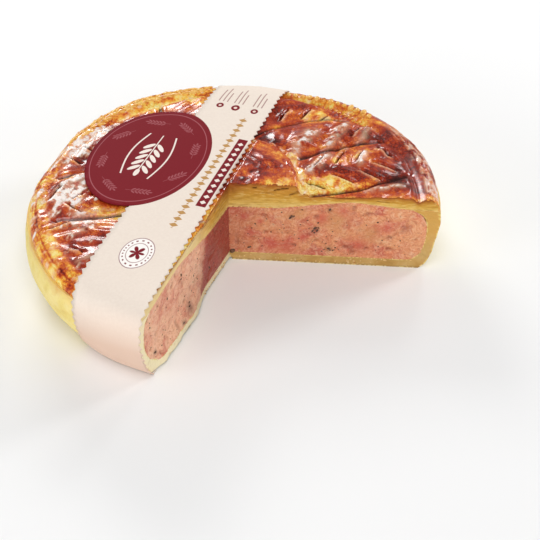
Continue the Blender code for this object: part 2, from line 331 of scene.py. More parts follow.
def add(tree, kind, inputs=(), **settings):
    """One node with its settings, and a value or a link for each input, by number or by name."""
    node = tree.nodes.new(kind)
    for key, value in settings.items():
        setattr(node, key, value)
    for key, value in inputs.items() if isinstance(inputs, dict) else enumerate(inputs):
        if isinstance(value, bpy.types.NodeSocket):
            tree.links.new(value, node.inputs[key])
        elif value is not None:
            node.inputs[key].default_value = value
    return node


def calc(tree, operation, *values):
    return add(tree, "ShaderNodeMath", values, operation=operation).outputs[0]


def times(tree, a, b):
    return calc(tree, "MULTIPLY", a, b)


def ramp(tree, value, stops):
    """A colour ramp with stops of (place, hex colour)."""
    node = add(tree, "ShaderNodeValToRGB", (value,))
    while len(node.color_ramp.elements) < len(stops):
        node.color_ramp.elements.new(0.5)
    for element, (place, code) in zip(node.color_ramp.elements, stops):
        element.position = place
        element.color = paint(code)
    return node.outputs[0]


def blend(tree, share, first, second):
    """Two colours mixed by a share."""
    first, second = (paint(c) if isinstance(c, str) else c for c in (first, second))
    inputs = {0: share, 6: first, 7: second}
    return add(tree, "ShaderNodeMix", inputs, data_type="RGBA", clamp_factor=True).outputs[2]


def field(tree, name):
    return add(tree, "ShaderNodeAttribute", attribute_name=name).outputs["Fac"]


def noise(tree, place, scale, detail=3, roughness=0.55):
    inputs = {"Vector": place, "Scale": scale, "Detail": detail, "Roughness": roughness}
    return add(tree, "ShaderNodeTexNoise", inputs).outputs["Fac"]


def remap(tree, value, low, high, to_low=0, to_high=1):
    inputs = {0: value, 1: low, 2: high, 3: to_low, 4: to_high}
    return add(tree, "ShaderNodeMapRange", inputs, clamp=True).outputs[0]


def layered(tree, colour, layers):
    """Lays colours over one another. A layer is a mask or a field's name, the values at which the colour
    begins and is full, its strength and the colour."""
    for mask, low, high, strength, code in layers:
        mask = field(tree, mask) if isinstance(mask, str) else mask
        colour = blend(tree, remap(tree, mask, low, high, 0, strength), colour, code)
    return colour


def new_material(name):
    """A material, its tree, its shader and a place on the piece."""
    material = bpy.data.materials.new(name)
    material.use_nodes = True
    tree = material.node_tree
    place = add(tree, "ShaderNodeTexCoord").outputs["Object"]
    return material, tree, tree.nodes["Principled BSDF"], place


def set_inputs(node, values):
    """Sets a node's own sockets."""
    for label, value in values.items():
        node.inputs[label].default_value = value


def make_grain_group():
    """Baked grain, shared by every pastry and filling: a height and a mask of fine flecks."""
    group = bpy.data.node_groups.new("Baked grain", "ShaderNodeTree")
    for name, kind in (("Place", "Vector"), ("Size", "Float"), ("Flecks", "Float")):
        group.interface.new_socket(name, in_out="INPUT", socket_type="NodeSocket" + kind)
    for name in ("Height", "Fleck"):
        group.interface.new_socket(name, in_out="OUTPUT", socket_type="NodeSocketFloat")
    given = add(group, "NodeGroupInput").outputs
    scale = calc(group, "DIVIDE", 1.0, given["Size"])
    soft = noise(group, given["Place"], scale, 5, 0.6)
    cells = add(group, "ShaderNodeTexVoronoi", {"Vector": given["Place"], "Scale": scale}).outputs["Distance"]
    height = calc(group, "MULTIPLY_ADD", cells, 0.35, soft)
    fleck = times(group, remap(group, soft, 0.56, 0.72), given["Flecks"])
    add(group, "NodeGroupOutput", (height, fleck))
    return group


def grain(tree, place, size, flecks):
    inputs = {"Place": place, "Size": size, "Flecks": flecks}
    return add(tree, "ShaderNodeGroup", inputs, node_tree=baked_grain).outputs


def relief(tree, shader, height, distance, strength):
    bump = add(tree, "ShaderNodeBump", {"Strength": strength, "Distance": distance, "Height": height})
    tree.links.new(bump.outputs[0], shader.inputs["Normal"])


def soften(shader, weight, radius, scale):
    """Lets a little light into the pastry or meat."""
    set_inputs(shader, {"Subsurface Weight": weight, "Subsurface Radius": radius, "Subsurface Scale": scale})


baked_grain = make_grain_group()

crust_material, tree, shader, place = new_material("pale_shortcrust")
height = add(tree, "ShaderNodeSeparateXYZ", (place,)).outputs["Z"]
fine = grain(tree, place, 0.0011, 0.7)
clouds = noise(tree, place, 120, 4)
wall = ramp(tree, clouds, ((0.25, "E2C468"), (0.42, "EDD67C"), (0.6, "F3E094"), (0.8, "E8CC70")))
gilded = calc(tree, "MULTIPLY_ADD", clouds, 0.014, height)
wall = layered(tree, wall, ((gilded, 0.0345, 0.0405, 0.75, "D8983F"), (gilded, 0.0100, 0.005, 0.7, "F3E8BA")))
inside = ramp(tree, clouds, ((0.3, "B98C42"), (0.5, "C69C54"), (0.7, "D2AE6E")))
# Painted light and shade on the cut faces: the left face paler, as if lit, the hollows darker, and a painted
# shade along the very foot next to the floor.
inside = layered(tree, inside, ((height, 0.008, 0.02, 0.6, "DCA446"), ("pale", 0, 1, 0.88, "FBF0C8"),
                                ("pit_shade", 0.05, 0.4, 0.7, "A8803E"), (height, 0.0013, 0.0004, 0.4, "7C6034")))
colour = blend(tree, field(tree, "cut"), wall, inside)
colour = layered(tree, colour, ((fine["Fleck"], 0, 1, 0.4, "C8983E"),))
tree.links.new(colour, shader.inputs["Base Color"])
set_inputs(shader, {"Roughness": 0.62})
soften(shader, 0.12, (1.0, 0.7, 0.35), 0.0015)
relief(tree, shader, fine["Height"], 0.0004, 0.7)

base_crust = cut_block("baked_base", crust_material, crust_shape, even_places(CRUST_OUTSIDE, CRUST_STEP),
                       np.linspace(0, 1, CRUST_LAYERS), crust_spacing)
hollow_under(base_crust)
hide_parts("base_crust")
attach(base_crust, "root")


# The filling: coarsely chopped meat in its own set juices, salmon pink with redder lumps, pale fat and
# dark herbs. It fills the crust right through, and the knife left it a little torn at both cuts.
LID_UNDERSIDE = ((0, 28.7), (0.24, 29.0), (0.38, 31.2), (0.58, 33.9), (0.79, 31.9), (0.87, 31.0),
                 (1.1, 31.0))
FILLING_SIDE = ((0.89, 4.3), (0.945, 8.5), (0.962, 16), (0.962, 23.5), (0.935, 28.3), (0.88, 31.0))
FILLING_ROWS = 130
FILLING_LAYERS = 46

# A shift in the noise that gives the left cut a relief of its own
LEFT_CUT_SHIFT = 200

# Redder meat at the right cut: millimetres out from the corner, height and size
RED_LUMPS = ((13.1, 21.5, 1.5), (6.2, 23.8, 1.6), (18.1, 10.1, 4.5), (24.5, 9.5, 4.5), (9.0, 15.5, 2.2),
             (39.7, 24.6, 3.0), (31.5, 14.0, 2.4), (56.0, 11.0, 4.0), (67.0, 21.0, 3.0), (48.0, 29.0, 2.6))
TAN_LUMPS = ((45.9, 23.8, 5.0), (60.0, 17.0, 4.0), (30.0, 27.0, 3.0))

# Brown spots on the left and the right cut, and how far out from the corner the painted shadow on the left
# cut reaches, and how much its edge leans with height
LEFT_SPOTS = ((42.6, 7.6, 2.4), (49.8, 5.2, 1.4), (73.9, 9.0, 1.3))
RIGHT_SPOTS = ((36.7, 18.3, 1.7), (26.6, 24.8, 1.0), (42.8, 8.4, 1.4), (42.6, 29.4, 1.2))
SHADOW_REACH = 31
SHADOW_LEAN = 0.3


def underside(share):
    """The height of the lid's underside, with its corners rounded off."""
    shares, heights = np.array(LID_UNDERSIDE).T
    return sum(np.interp(share + shift, shares, heights) for shift in (-0.04, -0.02, 0, 0.02, 0.04)) / 5


def side_share(level):
    """How far out the filling reaches at a level, as a share of the radius."""
    shares, levels = np.array(FILLING_SIDE).T
    return np.interp(level, levels, shares)


def lumps_at(out, height, lumps):
    ragged = 0.25 * rough(out, height, 3, 31)
    return np.max([bell(np.hypot(out - s, height - z) / size + ragged, 1) for s, z, size in lumps], axis=0)


def filling_shape(angle, v, w, cut):
    share = v * side_share(mix(BASE_THICKNESS, SEAM_HEIGHT, w))
    height = mix(BASE_THICKNESS, underside(share), w)
    x, y = at_share(angle, share - tucked(angle, share, height))
    left = (cut < 0).astype(float)
    out = share * rim_distance(angle)
    s = out + LEFT_CUT_SHIFT * left
    fade = edge_fade(v, w, 0.02, 0.04) * np.abs(cut)
    torn = 0.32 * rough(s, height, 6, 21) + 0.26 * rough(s * 0.8, height * 1.3, 2.4, 25)
    holes = np.maximum(bumps(s, height, 3.1, 29) - 0.45, 0) * 1.6
    depth = fade * (torn + holes)
    dx, dy = into_cut(angle, cut, depth)
    streaked = 0.3 * smooth(0.0, 0.5, rough(out, height * 1.6, 3.4, 35))
    red = mix(0.8 * lumps_at(out, height, RED_LUMPS), streaked, left)
    # Painted shadow: near the corner the left cut is painted dark red where the pie's right half shades it,
    # and the right cut is painted a little darker. Painted light: the rest of the left cut is painted paler,
    # as if lit from the right. The hollows are painted darker as shade.
    shadow_edge = out + SHADOW_LEAN * height + 2 * bumps(out, height, 5, 33)
    deep = left * smooth(SHADOW_REACH + 4, SHADOW_REACH - 1, shadow_edge)
    corner_shade = (1 - left) * 0.35 * smooth(15, 4, out)
    spots = mix(0.8 * lumps_at(out, height, RIGHT_SPOTS), lumps_at(out, height, LEFT_SPOTS), left)
    fields = {"pit_shade": depth, "red": red, "deep": np.maximum(deep, corner_shade), "pale": left * (1 - deep),
              "tan": lumps_at(out, height, TAN_LUMPS) * (1 - left), "spot": spots}
    foot_x, foot_y = foot_spread(angle, out, height)
    return (x + dx + foot_x, y + dy + foot_y, height), fields


def vector_calc(tree, operation, *values):
    return add(tree, "ShaderNodeVectorMath", values, operation=operation).outputs[0]


def swirled(tree, place, scale, detail, push):
    """A place pushed about by soft noise, so that what is laid on it looks grown."""
    inputs = {"Vector": place, "Scale": scale, "Detail": detail}
    colour = add(tree, "ShaderNodeTexNoise", inputs).outputs["Color"]
    pushed = vector_calc(tree, "MULTIPLY", vector_calc(tree, "SUBTRACT", colour, (0.5,) * 3), (push,) * 3)
    return vector_calc(tree, "ADD", place, pushed)


filling_material, tree, shader, place = new_material("chopped_meat")
warped = swirled(tree, place, 150, 3, 0.012)
lumps = add(tree, "ShaderNodeTexVoronoi", {"Vector": warped, "Scale": 130}, feature="SMOOTH_F1")
kind = add(tree, "ShaderNodeSeparateColor", (lumps.outputs["Color"],)).outputs[0]
fine = grain(tree, place, 0.0011, 1.0)
fat = noise(tree, warped, 300, 5, 0.7)
streaks = noise(tree, warped, 95, 3)
strands = noise(tree, warped, 800, 3, 0.6)
meat = ramp(tree, kind, ((0.05, "D67A5C"), (0.3, "E0905F"), (0.5, "E39A68"), (0.72, "E08A5C"),
                         (0.92, "D06E50")))
# Painted light and shade: the left cut paler, as if lit, a dark red painted shadow near the corner, and
# darker painted shade in the torn hollows.
meat = layered(tree, meat, (
    ("pale", 0, 1, 0.7, "F4C2A2"), (fat, 0.52, 0.66, 0.5, "EFC39C"), (fat, 0.44, 0.3, 0.4, "B85A3E"),
    (streaks, 0.53, 0.66, 0.65, "C45640"), (strands, 0.5, 0.64, 0.4, "F4CDAC"),
    (strands, 0.48, 0.34, 0.4, "A64E3A"), ("red", 0, 1, 1, "CC5242"), ("tan", 0, 1, 0.7, "CC8C56"),
    ("deep", 0, 1, 0.9, "A2382E"), ("spot", 0, 1, 0.75, "74402C"), ("pit_shade", 0.15, 0.9, 0.7, "9A4A34"),
    (fine["Fleck"], 0, 1, 0.4, "F0C8A8"),
))
tree.links.new(meat, shader.inputs["Base Color"])
set_inputs(shader, {"Roughness": 0.45})
soften(shader, 0.15, (1.0, 0.35, 0.25), 0.0012)
relief(tree, shader, fine["Height"], 0.0005, 0.8)

filling = cut_block("chopped_filling", filling_material, filling_shape, np.linspace(0, 1, FILLING_ROWS),
                    np.linspace(0, 1, FILLING_LAYERS))
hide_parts("filling")
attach(filling, "root")


# The lid: a thicker round of pastry, brushed with egg and scored with a knife before it was baked. A
# raised round of folded pastry sits in its middle, leaves swell between the scored furrows, and a
# groove sets the crimped rim off. The glaze is golden in the hollows and red-brown on what stands up.
LID_LEVEL = 36.2
LID_SIDE = ((1.01, 0), (1.012, 0.3), (1.006, 0.6), (0.99, 0.88), (0.965, 1))
LID_STEP = 0.56
LID_LAYERS = 22
BOSS_CENTRE = (0, 4)
BOSS_RADIUS = 27.8
BOSS_SWING = 2.2
BOSS_RISE = 5.2
GROOVE_RADIUS = 75.5
GROOVE_WIDTH = 1.9
GROOVE_DEPTH = 1.1
CREST_RADIUS = 80.5
CREST_WIDTH = 3.6
CREST_RISE = 0.8
FURROW_START = 30
LEAF_RISE = 1.4
RIB_PITCH = 9
PLY_PITCH = 2.6
BED_LEVEL = 37.6
BED_EDGE = -4.0
BED_SLOPE = 2

# The furrows between the leaves: the degrees at which each one starts and ends
FURROWS = ((-52, -40), (-8, 8), (41, 27), (89, 41), (133, 118), (156, 172), (200, 195), (252, 246),
           (308, 320))

# Degrees are counted on from this azimuth, through the back to the left. Then those over which the rim at
# the back passes into the one at the right and the one at the left
LEAST_AZIMUTH = -60
RIGHT_RIM = (38, 28)
LEFT_RIM = (158, 170)

# Where the back of the lid lies lower: degrees, width and by how much
LOW_BACK = ((88, 38, 1.3), (72, 12, 1.2))

# Where the border begins, and over which degrees the front left of the rim drops and by how much
BORDER_SHARE = 0.905
SHOULDER = (205, 232)
SHOULDER_DROP = 1.8

# Knife slashes, each from one end to the other, with its depth
SLASHES = (
    (29.0, 52.6, 34.4, 59.9, 1.4), (19.3, 51.4, 24.1, 59.9, 1.3), (37.5, 51.4, 41.7, 54.4, 1.0),
    (47.2, 26.5, 42.3, 16.8, 1.4), (38.1, 22.9, 32.6, 13.2, 1.3), (55.1, 25.9, 51.4, 18.0, 1.2),
    (58.7, 18.0, 68.4, 11.3, 1.4), (40.0, 8.9, 49.0, 3.5, 1.3), (28.4, 3.4, 37.5, -0.9, 0.6),
    (52.1, 12.0, 61.2, 4.7, 1.6), (61.0, 29.0, 68.0, 20.5, 0.9), (50.5, 38.0, 55.5, 44.5, 0.8),
    (-78.0, -7.6, -72.8, 3.8, 1.4), (-68.1, -6.8, -63.5, -2.6, 1.0), (-70.3, -8.9, -63.5, -14.9, 1.5),
    (-77.0, -25.8, -66.0, -20.0, 1.1), (-71.3, 10.6, -63.5, 12.8, 1.1), (-60.5, -4.0, -54.0, 5.5, 0.9),
    (-66.5, 31.0, -61.0, 27.0, 0.8), (-72.0, 24.0, -66.5, 19.5, 0.7), (-62.0, 44.0, -52.5, 41.0, 0.8),
    (-66.0, -37.0, -60.0, -41.0, 0.7),
)

# Ridges where the pastry buckled: both ends, the height, the half width and how much pale glare is painted on
# them
RIDGES = (
    (34.8, 42.3, 26.3, 29.6, 1.1, 3.8, 1.0), (26.3, 29.6, 24.1, 19.2, 0.8, 3.0, 0.7),
    (50.6, 47.4, 38.7, 29.6, 1.2, 2.6, 1.0), (53.6, 33.2, 61.2, 44.2, 0.8, 2.2, 0.5),
    (58.0, 22.5, 66.5, 26.5, 0.6, 1.8, 0.0), (29.0, 8.5, 40.0, 24.0, 1.0, 3.0, 0.9),
    (52.5, 14.0, 56.0, 25.0, 0.9, 2.4, 0.9), (54.0, -3.0, 70.0, 0.5, 0.8, 2.2, 0.8),
    (45.5, 34.5, 47.5, 26.0, 0.5, 1.8, 0.6), (-77.8, -10.0, -70.0, 5.0, 1.2, 2.6, 1.0),
    (-70.0, 5.0, -62.5, 11.0, 1.2, 2.4, 1.0), (-69.5, -6.0, -62.5, 7.0, 1.1, 2.2, 1.0),
    (-74.0, 20.5, -67.0, 32.5, 1.0, 3.4, 0.9), (-62.0, 40.0, -52.0, 48.5, 1.1, 3.4, 0.8),
    (-66.5, -16.5, -56.0, -13.5, 0.6, 2.2, 0.8), (-73.0, -24.0, -56.0, -20.5, 0.5, 2.4, 0.9),
    (-71.0, -31.0, -60.0, -26.0, 0.5, 2.0, 0.6), (-63.0, -46.5, -56.0, -43.0, 0.8, 1.8, 0.4),
)

# Where pale glare is painted on the left half's glaze: degrees, width and how much
PAINTED_GLARE = ((150, 21, 0.8), (184, 16, 0.5), (208, 14, 0.32))

# Where the glaze is paler (below 0) or darker than around it: the spot, its size and by how much. The two
# darker spots on the raised round beside the band, at 7.8, 16.5 and at 7.5, 2.0, are partly painted shadow of
# the band and partly a darker bake.
PATCHES = (
    (36.1, 56.2, 3.6, -0.3), (41.5, 53.0, 4.5, -0.3), (32.4, 49.6, 4, -0.14), (26.0, 57.5, 3, -0.2),
    (19.1, 56.6, 5, 0.12), (57.8, 38.4, 6, 0.06), (74.0, 19.9, 5, 0.16), (44.4, 17.4, 4.5, -0.28),
    (49.1, 20.6, 3.5, -0.3), (59.3, 24.7, 4.5, -0.2), (55.5, 21.5, 3.5, -0.2), (33.5, 1.5, 6, -0.52),
    (39.0, 5.0, 4, -0.26), (44.0, 3.8, 4, -0.2), (50.1, 2.6, 3.5, -0.12), (42.0, -2.5, 5, -0.2),
    (61.0, 7.4, 5, 0.24), (69.3, 8.7, 4, 0.2), (53.0, 15.0, 4, 0.06), (71.0, 1.5, 6, 0.22),
    (39.4, 61.5, 4, -0.16), (29.3, 41.4, 7, 0.08), (56.2, 30.1, 5, -0.12), (37.0, 27.0, 4, 0.1),
    (-59.5, -36.0, 8, 0.08), (-58.5, -11.8, 4, -0.26), (-53.0, -14.6, 4, -0.3), (-46.0, -15.2, 4, -0.2),
    (-67.8, 5.8, 3, -0.1), (-64.0, -10.4, 3.2, -0.26), (-76.0, -14.0, 4, 0.14), (-72.4, -18.0, 4, 0.16),
    (-67.0, -19.4, 4, 0.1), (-80.6, -15.5, 3.5, 0.2), (-62.0, -22.0, 3, -0.16), (-57.7, -25.5, 3.5, -0.22),
    (-53.0, -22.5, 3.5, -0.24), (-74.6, -34.8, 4, -0.1), (-70.5, -39.2, 4, -0.12), (-39.6, 66.0, 9, -0.12),
    (-19.1, 69.5, 8, -0.4), (-33.0, 62.0, 7, -0.16), (-67.4, 22.6, 6, 0.14), (-48.0, 55.0, 6, -0.16),
    (6.1, 6.0, 1.6, 0.35), (14.8, 17.6, 3, -0.06), (7.8, 16.5, 6, 0.2), (7.5, 2.0, 5, 0.14),
    (10.0, 44.0, 6, 0.24), (15.0, 36.0, 5, 0.2), (24.2, 49.1, 5, 0.08), (57.3, 41.8, 5, -0.06),
    (65.4, 33.7, 5, -0.06), (71.5, 11.0, 5, 0.06), (65.6, -3.1, 4, -0.2), (22.2, 5.2, 3, -0.12),
    (-73.8, -10.0, 5, -0.1), (-70.9, -29.7, 5, -0.1), (-55.6, -21.7, 4, 0.1),
)


def to_line(x, y, line):
    """The distance to a stretch of line, its sign by side, and how far along it a point is."""
    x0, y0, x1, y1 = line[:4]
    length = math.hypot(x1 - x0, y1 - y0)
    along = ((x - x0) * (x1 - x0) + (y - y0) * (y1 - y0)) / length
    aside = ((x - x0) * (y1 - y0) - (y - y0) * (x1 - x0)) / length
    past = np.maximum(np.maximum(-along, along - length), 0)
    return np.hypot(aside, past), np.sign(aside), along / length


def creased(x, y, size, seed):
    """Thin crinkles, like a skin that shrank: sharp crests between soft hollows."""
    push = 0.35 * size * bumps(x, y, size * 1.7, seed + 9)
    crests = 0.45 - np.abs(bumps(x + push, y - push, size, seed))
    return crests - 0.4 * np.abs(bumps(x - push, y, size / 2, seed + 1))


def share_at(x, y):
    """How far out a point is, as a share of the way from the cut's corner to the rim."""
    angle = np.arctan2(y - CORNER[1], x - CORNER[0])
    return np.hypot(x - CORNER[0], y - CORNER[1]) / rim_distance(angle)


def boss_distance(x, y):
    """How far inside the raised round's edge a point is. The fold swings outwards to the back."""
    from_middle = np.hypot(x - BOSS_CENTRE[0], y - BOSS_CENTRE[1])
    turn = np.arctan2(y - BOSS_CENTRE[1], x - BOSS_CENTRE[0])
    edge = BOSS_RADIUS + BOSS_SWING * (1 - np.cos(2.2 * np.clip(turn, -0.6, 1.56) - 0.3))
    return edge + 0.9 * bumps(x, y, 5, 41) + 0.5 * bumps(x, y, 2.2, 42) - from_middle


def leaves(x, y, radius, azimuth):
    """The scored leaves: their height, how brown they are, and the painted shade along each knife stroke."""
    run = np.clip((radius - FURROW_START) / (GROOVE_RADIUS - FURROW_START), 0, 1)
    wander = 1.1 * bumps(x, y, 9, 43)
    azimuth = azimuth + np.degrees(0.7 * wander / np.maximum(radius, FURROW_START))
    azimuth = azimuth + 360 * (azimuth < mix(*FURROWS[0], run))
    share = np.full_like(x, 0.5)
    width = np.full_like(x, 40.0)
    for first, second in zip(FURROWS, FURROWS[1:]):
        low, high = mix(*first, run), mix(*second, run)
        here = (low <= azimuth) & (azimuth < high)
        share = np.where(here, (azimuth - low) / (high - low), share)
        width = np.where(here, np.radians(high - low) * radius, width)
    to_furrow = np.minimum(share, 1 - share) * width * 0.85
    from_vein = np.abs(share - 0.5) * width
    swell = np.sin(math.pi * share)
    ribs = np.cos(2 * math.pi * (radius - from_vein + wander) / RIB_PITCH)
    valley = bell(to_furrow, 2.4)
    knife = bell(to_furrow, 0.65)
    stroke_shade = bell(to_furrow, 0.95)
    lips = bell(to_furrow - 1.6, 0.9)
    folds = 0.8 * creased(x, y, 17, 44) + 0.12 * creased(x, y, 6, 54)
    streaks = bumps(radius, np.radians(azimuth) * radius * 2, 4.5, 50)
    height = swell * (LEAF_RISE + 0.3 * ribs) - 0.6 * valley - 0.9 * knife
    height = height + 0.4 * lips + folds + 0.05 * streaks
    bake = 0.6 + 0.14 * rough(x, y, 12, 52) + 0.13 * rough(x, y, 3.6, 55) + 0.06 * swell + 0.1 * folds
    bake = bake + 0.05 * streaks - 0.08 * valley
    bake = bake - 0.26 * bell(to_furrow - 2.2, 1.7) * (share < 0.5) * smooth(-0.15, 0.4, bumps(x, y, 11, 57))
    return height, bake, stroke_shade


def from_cuts(x, y):
    """How far a point lies from the right cut, and how far from the left one."""
    out_x, out_y = x - CORNER[0], y - CORNER[1]
    from_right = out_y * math.cos(RIGHT_CUT) - out_x * math.sin(RIGHT_CUT)
    return from_right, out_x * math.sin(LEFT_CUT) - out_y * math.cos(LEFT_CUT)


def with_boss(x, y, inside_boss, from_right, height, bake):
    """Adds the raised round: its folds, the pale slope down to the right cut, and its lapped edge of pale
    flakes.
    """
    radius = np.hypot(x, y)
    plateau = smooth(0.6, 4.2, inside_boss)
    lap = smooth(-1.8, -0.6, inside_boss) * (1 - smooth(0.4, 1.6, inside_boss))
    fibres = bumps(inside_boss * 2.4, x + y, 4, 76)
    crumple = 0.7 * rough(x, y, 11, 53) + 0.3 * creased(x, y, 6, 56) + 0.2 * fibres - 0.014 * radius
    height = height + plateau * (BOSS_RISE + crumple) + lap * (0.9 + 0.6 * bumps(x, y, 2.6, 61))
    boss_bake = 0.57 + 0.2 * rough(x, y, 6, 60) + 0.14 * fibres + 0.1 * creased(x, y, 6, 56)
    slope = smooth(7, 1.5, from_right + 2.5 * bumps(x, y, 4, 58)) * (x > CORNER[0])
    boss_bake = boss_bake - 0.24 * slope * smooth(5, 12, radius) + 0.25 * bell(radius, 7)
    ragged = smooth(-0.7, 0.1, bumps(x, y, 2.0, 62))
    bake = mix(bake, boss_bake, plateau) - 0.42 * bell(inside_boss - 0.6, 1.9) * (0.4 + 0.6 * ragged)
    return height, bake, 0.75 * bell(inside_boss - 0.4, 0.9) * ragged


def with_slashes(x, y, height, bake, knife_line_shade, flakes_and_glare):
    """Adds the knife slashes: a cut painted dark as shade between two lips, one of them pale with dry flakes.
    """
    wavy = 0.3 * np.abs(bumps(x, y, 2.5, 63))
    for line in SLASHES:
        away, side, along = to_line(x, y, line)
        taper = np.clip(4.5 * np.minimum(along + 0.08, 1.08 - along), 0, 1)
        away = away + wavy
        cut = bell(away, 0.6) * taper
        height = height - line[4] * cut + 0.4 * line[4] * bell(away - 1.35, 0.7) * taper
        bake = bake - 0.26 * bell(away - 1.4, 1.0) * (side > 0) * taper
        knife_line_shade = np.maximum(knife_line_shade, cut)
        flakes_and_glare = np.maximum(flakes_and_glare, 0.55 * bell(away - 1.5, 0.5) * (side > 0) * taper)
    return height, bake, knife_line_shade, flakes_and_glare


def with_ridges(x, y, glare_breakup, height, flakes_and_glare):
    """Adds the ridges of buckled pastry, and the pale glare painted on them in broken patches."""
    shifted = x + 0.8 * bumps(x, y, 5, 67)
    glare_showing = smooth(-0.6, 0.0, glare_breakup)
    for line in RIDGES:
        away, _, along = to_line(shifted, y, line)
        taper = np.clip(3 * np.minimum(along + 0.15, 1.15 - along), 0, 1)
        rise, width, glare_share = line[4:]
        height = height + rise * taper * (bell(away, width) - 0.4 * bell(away - 1.9 * width, 0.8 * width))
        flakes_and_glare = np.maximum(flakes_and_glare, glare_share * taper * bell(away, 0.75 * width) * glare_showing)
    return height, flakes_and_glare


def painted_glare(x, y, degrees, raised, glare_breakup):
    """How much pale glare is painted on the left half's glaze, in streaks and broken patches."""
    glare_amount = sum(amount * bell(degrees - middle, width) for middle, width, amount in PAINTED_GLARE)
    glare_streaks = rough(0.16 * x + 0.34 * y, 0.92 * x - 0.4 * y, 2.2, 84)
    patches = 0.95 * glare_streaks + 0.2 * glare_breakup + 0.4 * rough(x, y, 7, 82)
    glared = smooth(0.52 - 0.9 * glare_amount, 0.9 - 0.9 * glare_amount, patches + raised)
    return 0.9 * glared * smooth(0.02, 0.15, glare_amount) * smooth(36, 46, np.hypot(x, y))


def with_rim(x, y, degrees, height, bake, flakes_and_glare):
    """Adds the groove, the rim's crest and its border, which differs at the back, right and left."""
    radius = np.hypot(x, y)
    share = share_at(x, y)
    right = smooth(*RIGHT_RIM, degrees)
    left = smooth(*LEFT_RIM, degrees)
    border_from = BORDER_SHARE + 0.03 * bell(degrees - 34, 14) + 0.015 * right
    border = smooth(border_from, border_from + 0.025, share + 0.008 * bumps(x, y, 6, 69))
    flakes = np.cos(2 * math.pi * (radius + 1.6 * bumps(x, y, 7, 65)) / PLY_PITCH)
    teeth = np.cos(2 * math.pi * np.radians(degrees) * RIM_RADIUS / PLY_PITCH)
    comb = teeth * bell(share - 0.9, 0.03) * bell(degrees - 48, 14)
    seam = bell(share - 0.974 - 0.006 * bumps(x, y, 9, 66), 0.0045)
    lip = bell(share - 0.993 - 0.002 * bumps(x, y, 5, 67), 0.004)
    groove = bell(radius - GROOVE_RADIUS + 0.5 * bumps(x, y, 7, 64), GROOVE_WIDTH) * (1 - 0.75 * left)
    crest = bell(radius - CREST_RADIUS, CREST_WIDTH)
    height = height - GROOVE_DEPTH * groove + CREST_RISE * crest * (1 - 0.5 * left) + 0.35 * comb
    height = height + border * (0.3 * right * flakes - 0.35 * left * seam + 0.4 * rough(x, y, 3, 72))
    low_back = sum(drop * bell(degrees - middle, width) for middle, width, drop in LOW_BACK)
    height = height - low_back * smooth(70, 80, radius)
    height = height - SHOULDER_DROP * smooth(*SHOULDER, degrees) * smooth(0.9, 1.0, share)

    # Painted shade: the outer edge of the rim at the back, round 56 degrees, is painted darker round and
    # between the pinches.
    back_rim = 0.33 + 0.26 * rough(x, y, 3.4, 70) + 0.5 * smooth(0.965, 0.985, share) * bell(degrees - 56, 20)
    flaked = 0.5 * flakes + 1.3 * rough(x, y, 3.6, 72)
    right_rim = 0.58 - 0.12 * flaked + 0.15 * lip
    left_rim = 0.22 + 0.36 * rough(x, y, 3.4, 71) + 0.34 * seam + 0.15 * lip
    rim_bake = mix(mix(back_rim, right_rim, right), left_rim, left)
    bake = mix(bake, rim_bake, border) - groove * (0.26 * (1 - right) * (1 - left) + 0.04) + 0.14 * comb
    bake = bake + 0.16 * right * (1 - border) * smooth(62, 68, radius)
    flakes_and_glare = np.maximum(flakes_and_glare, 0.64 * right * border * smooth(-0.45, 0.15, flaked))
    return height, bake, flakes_and_glare, border


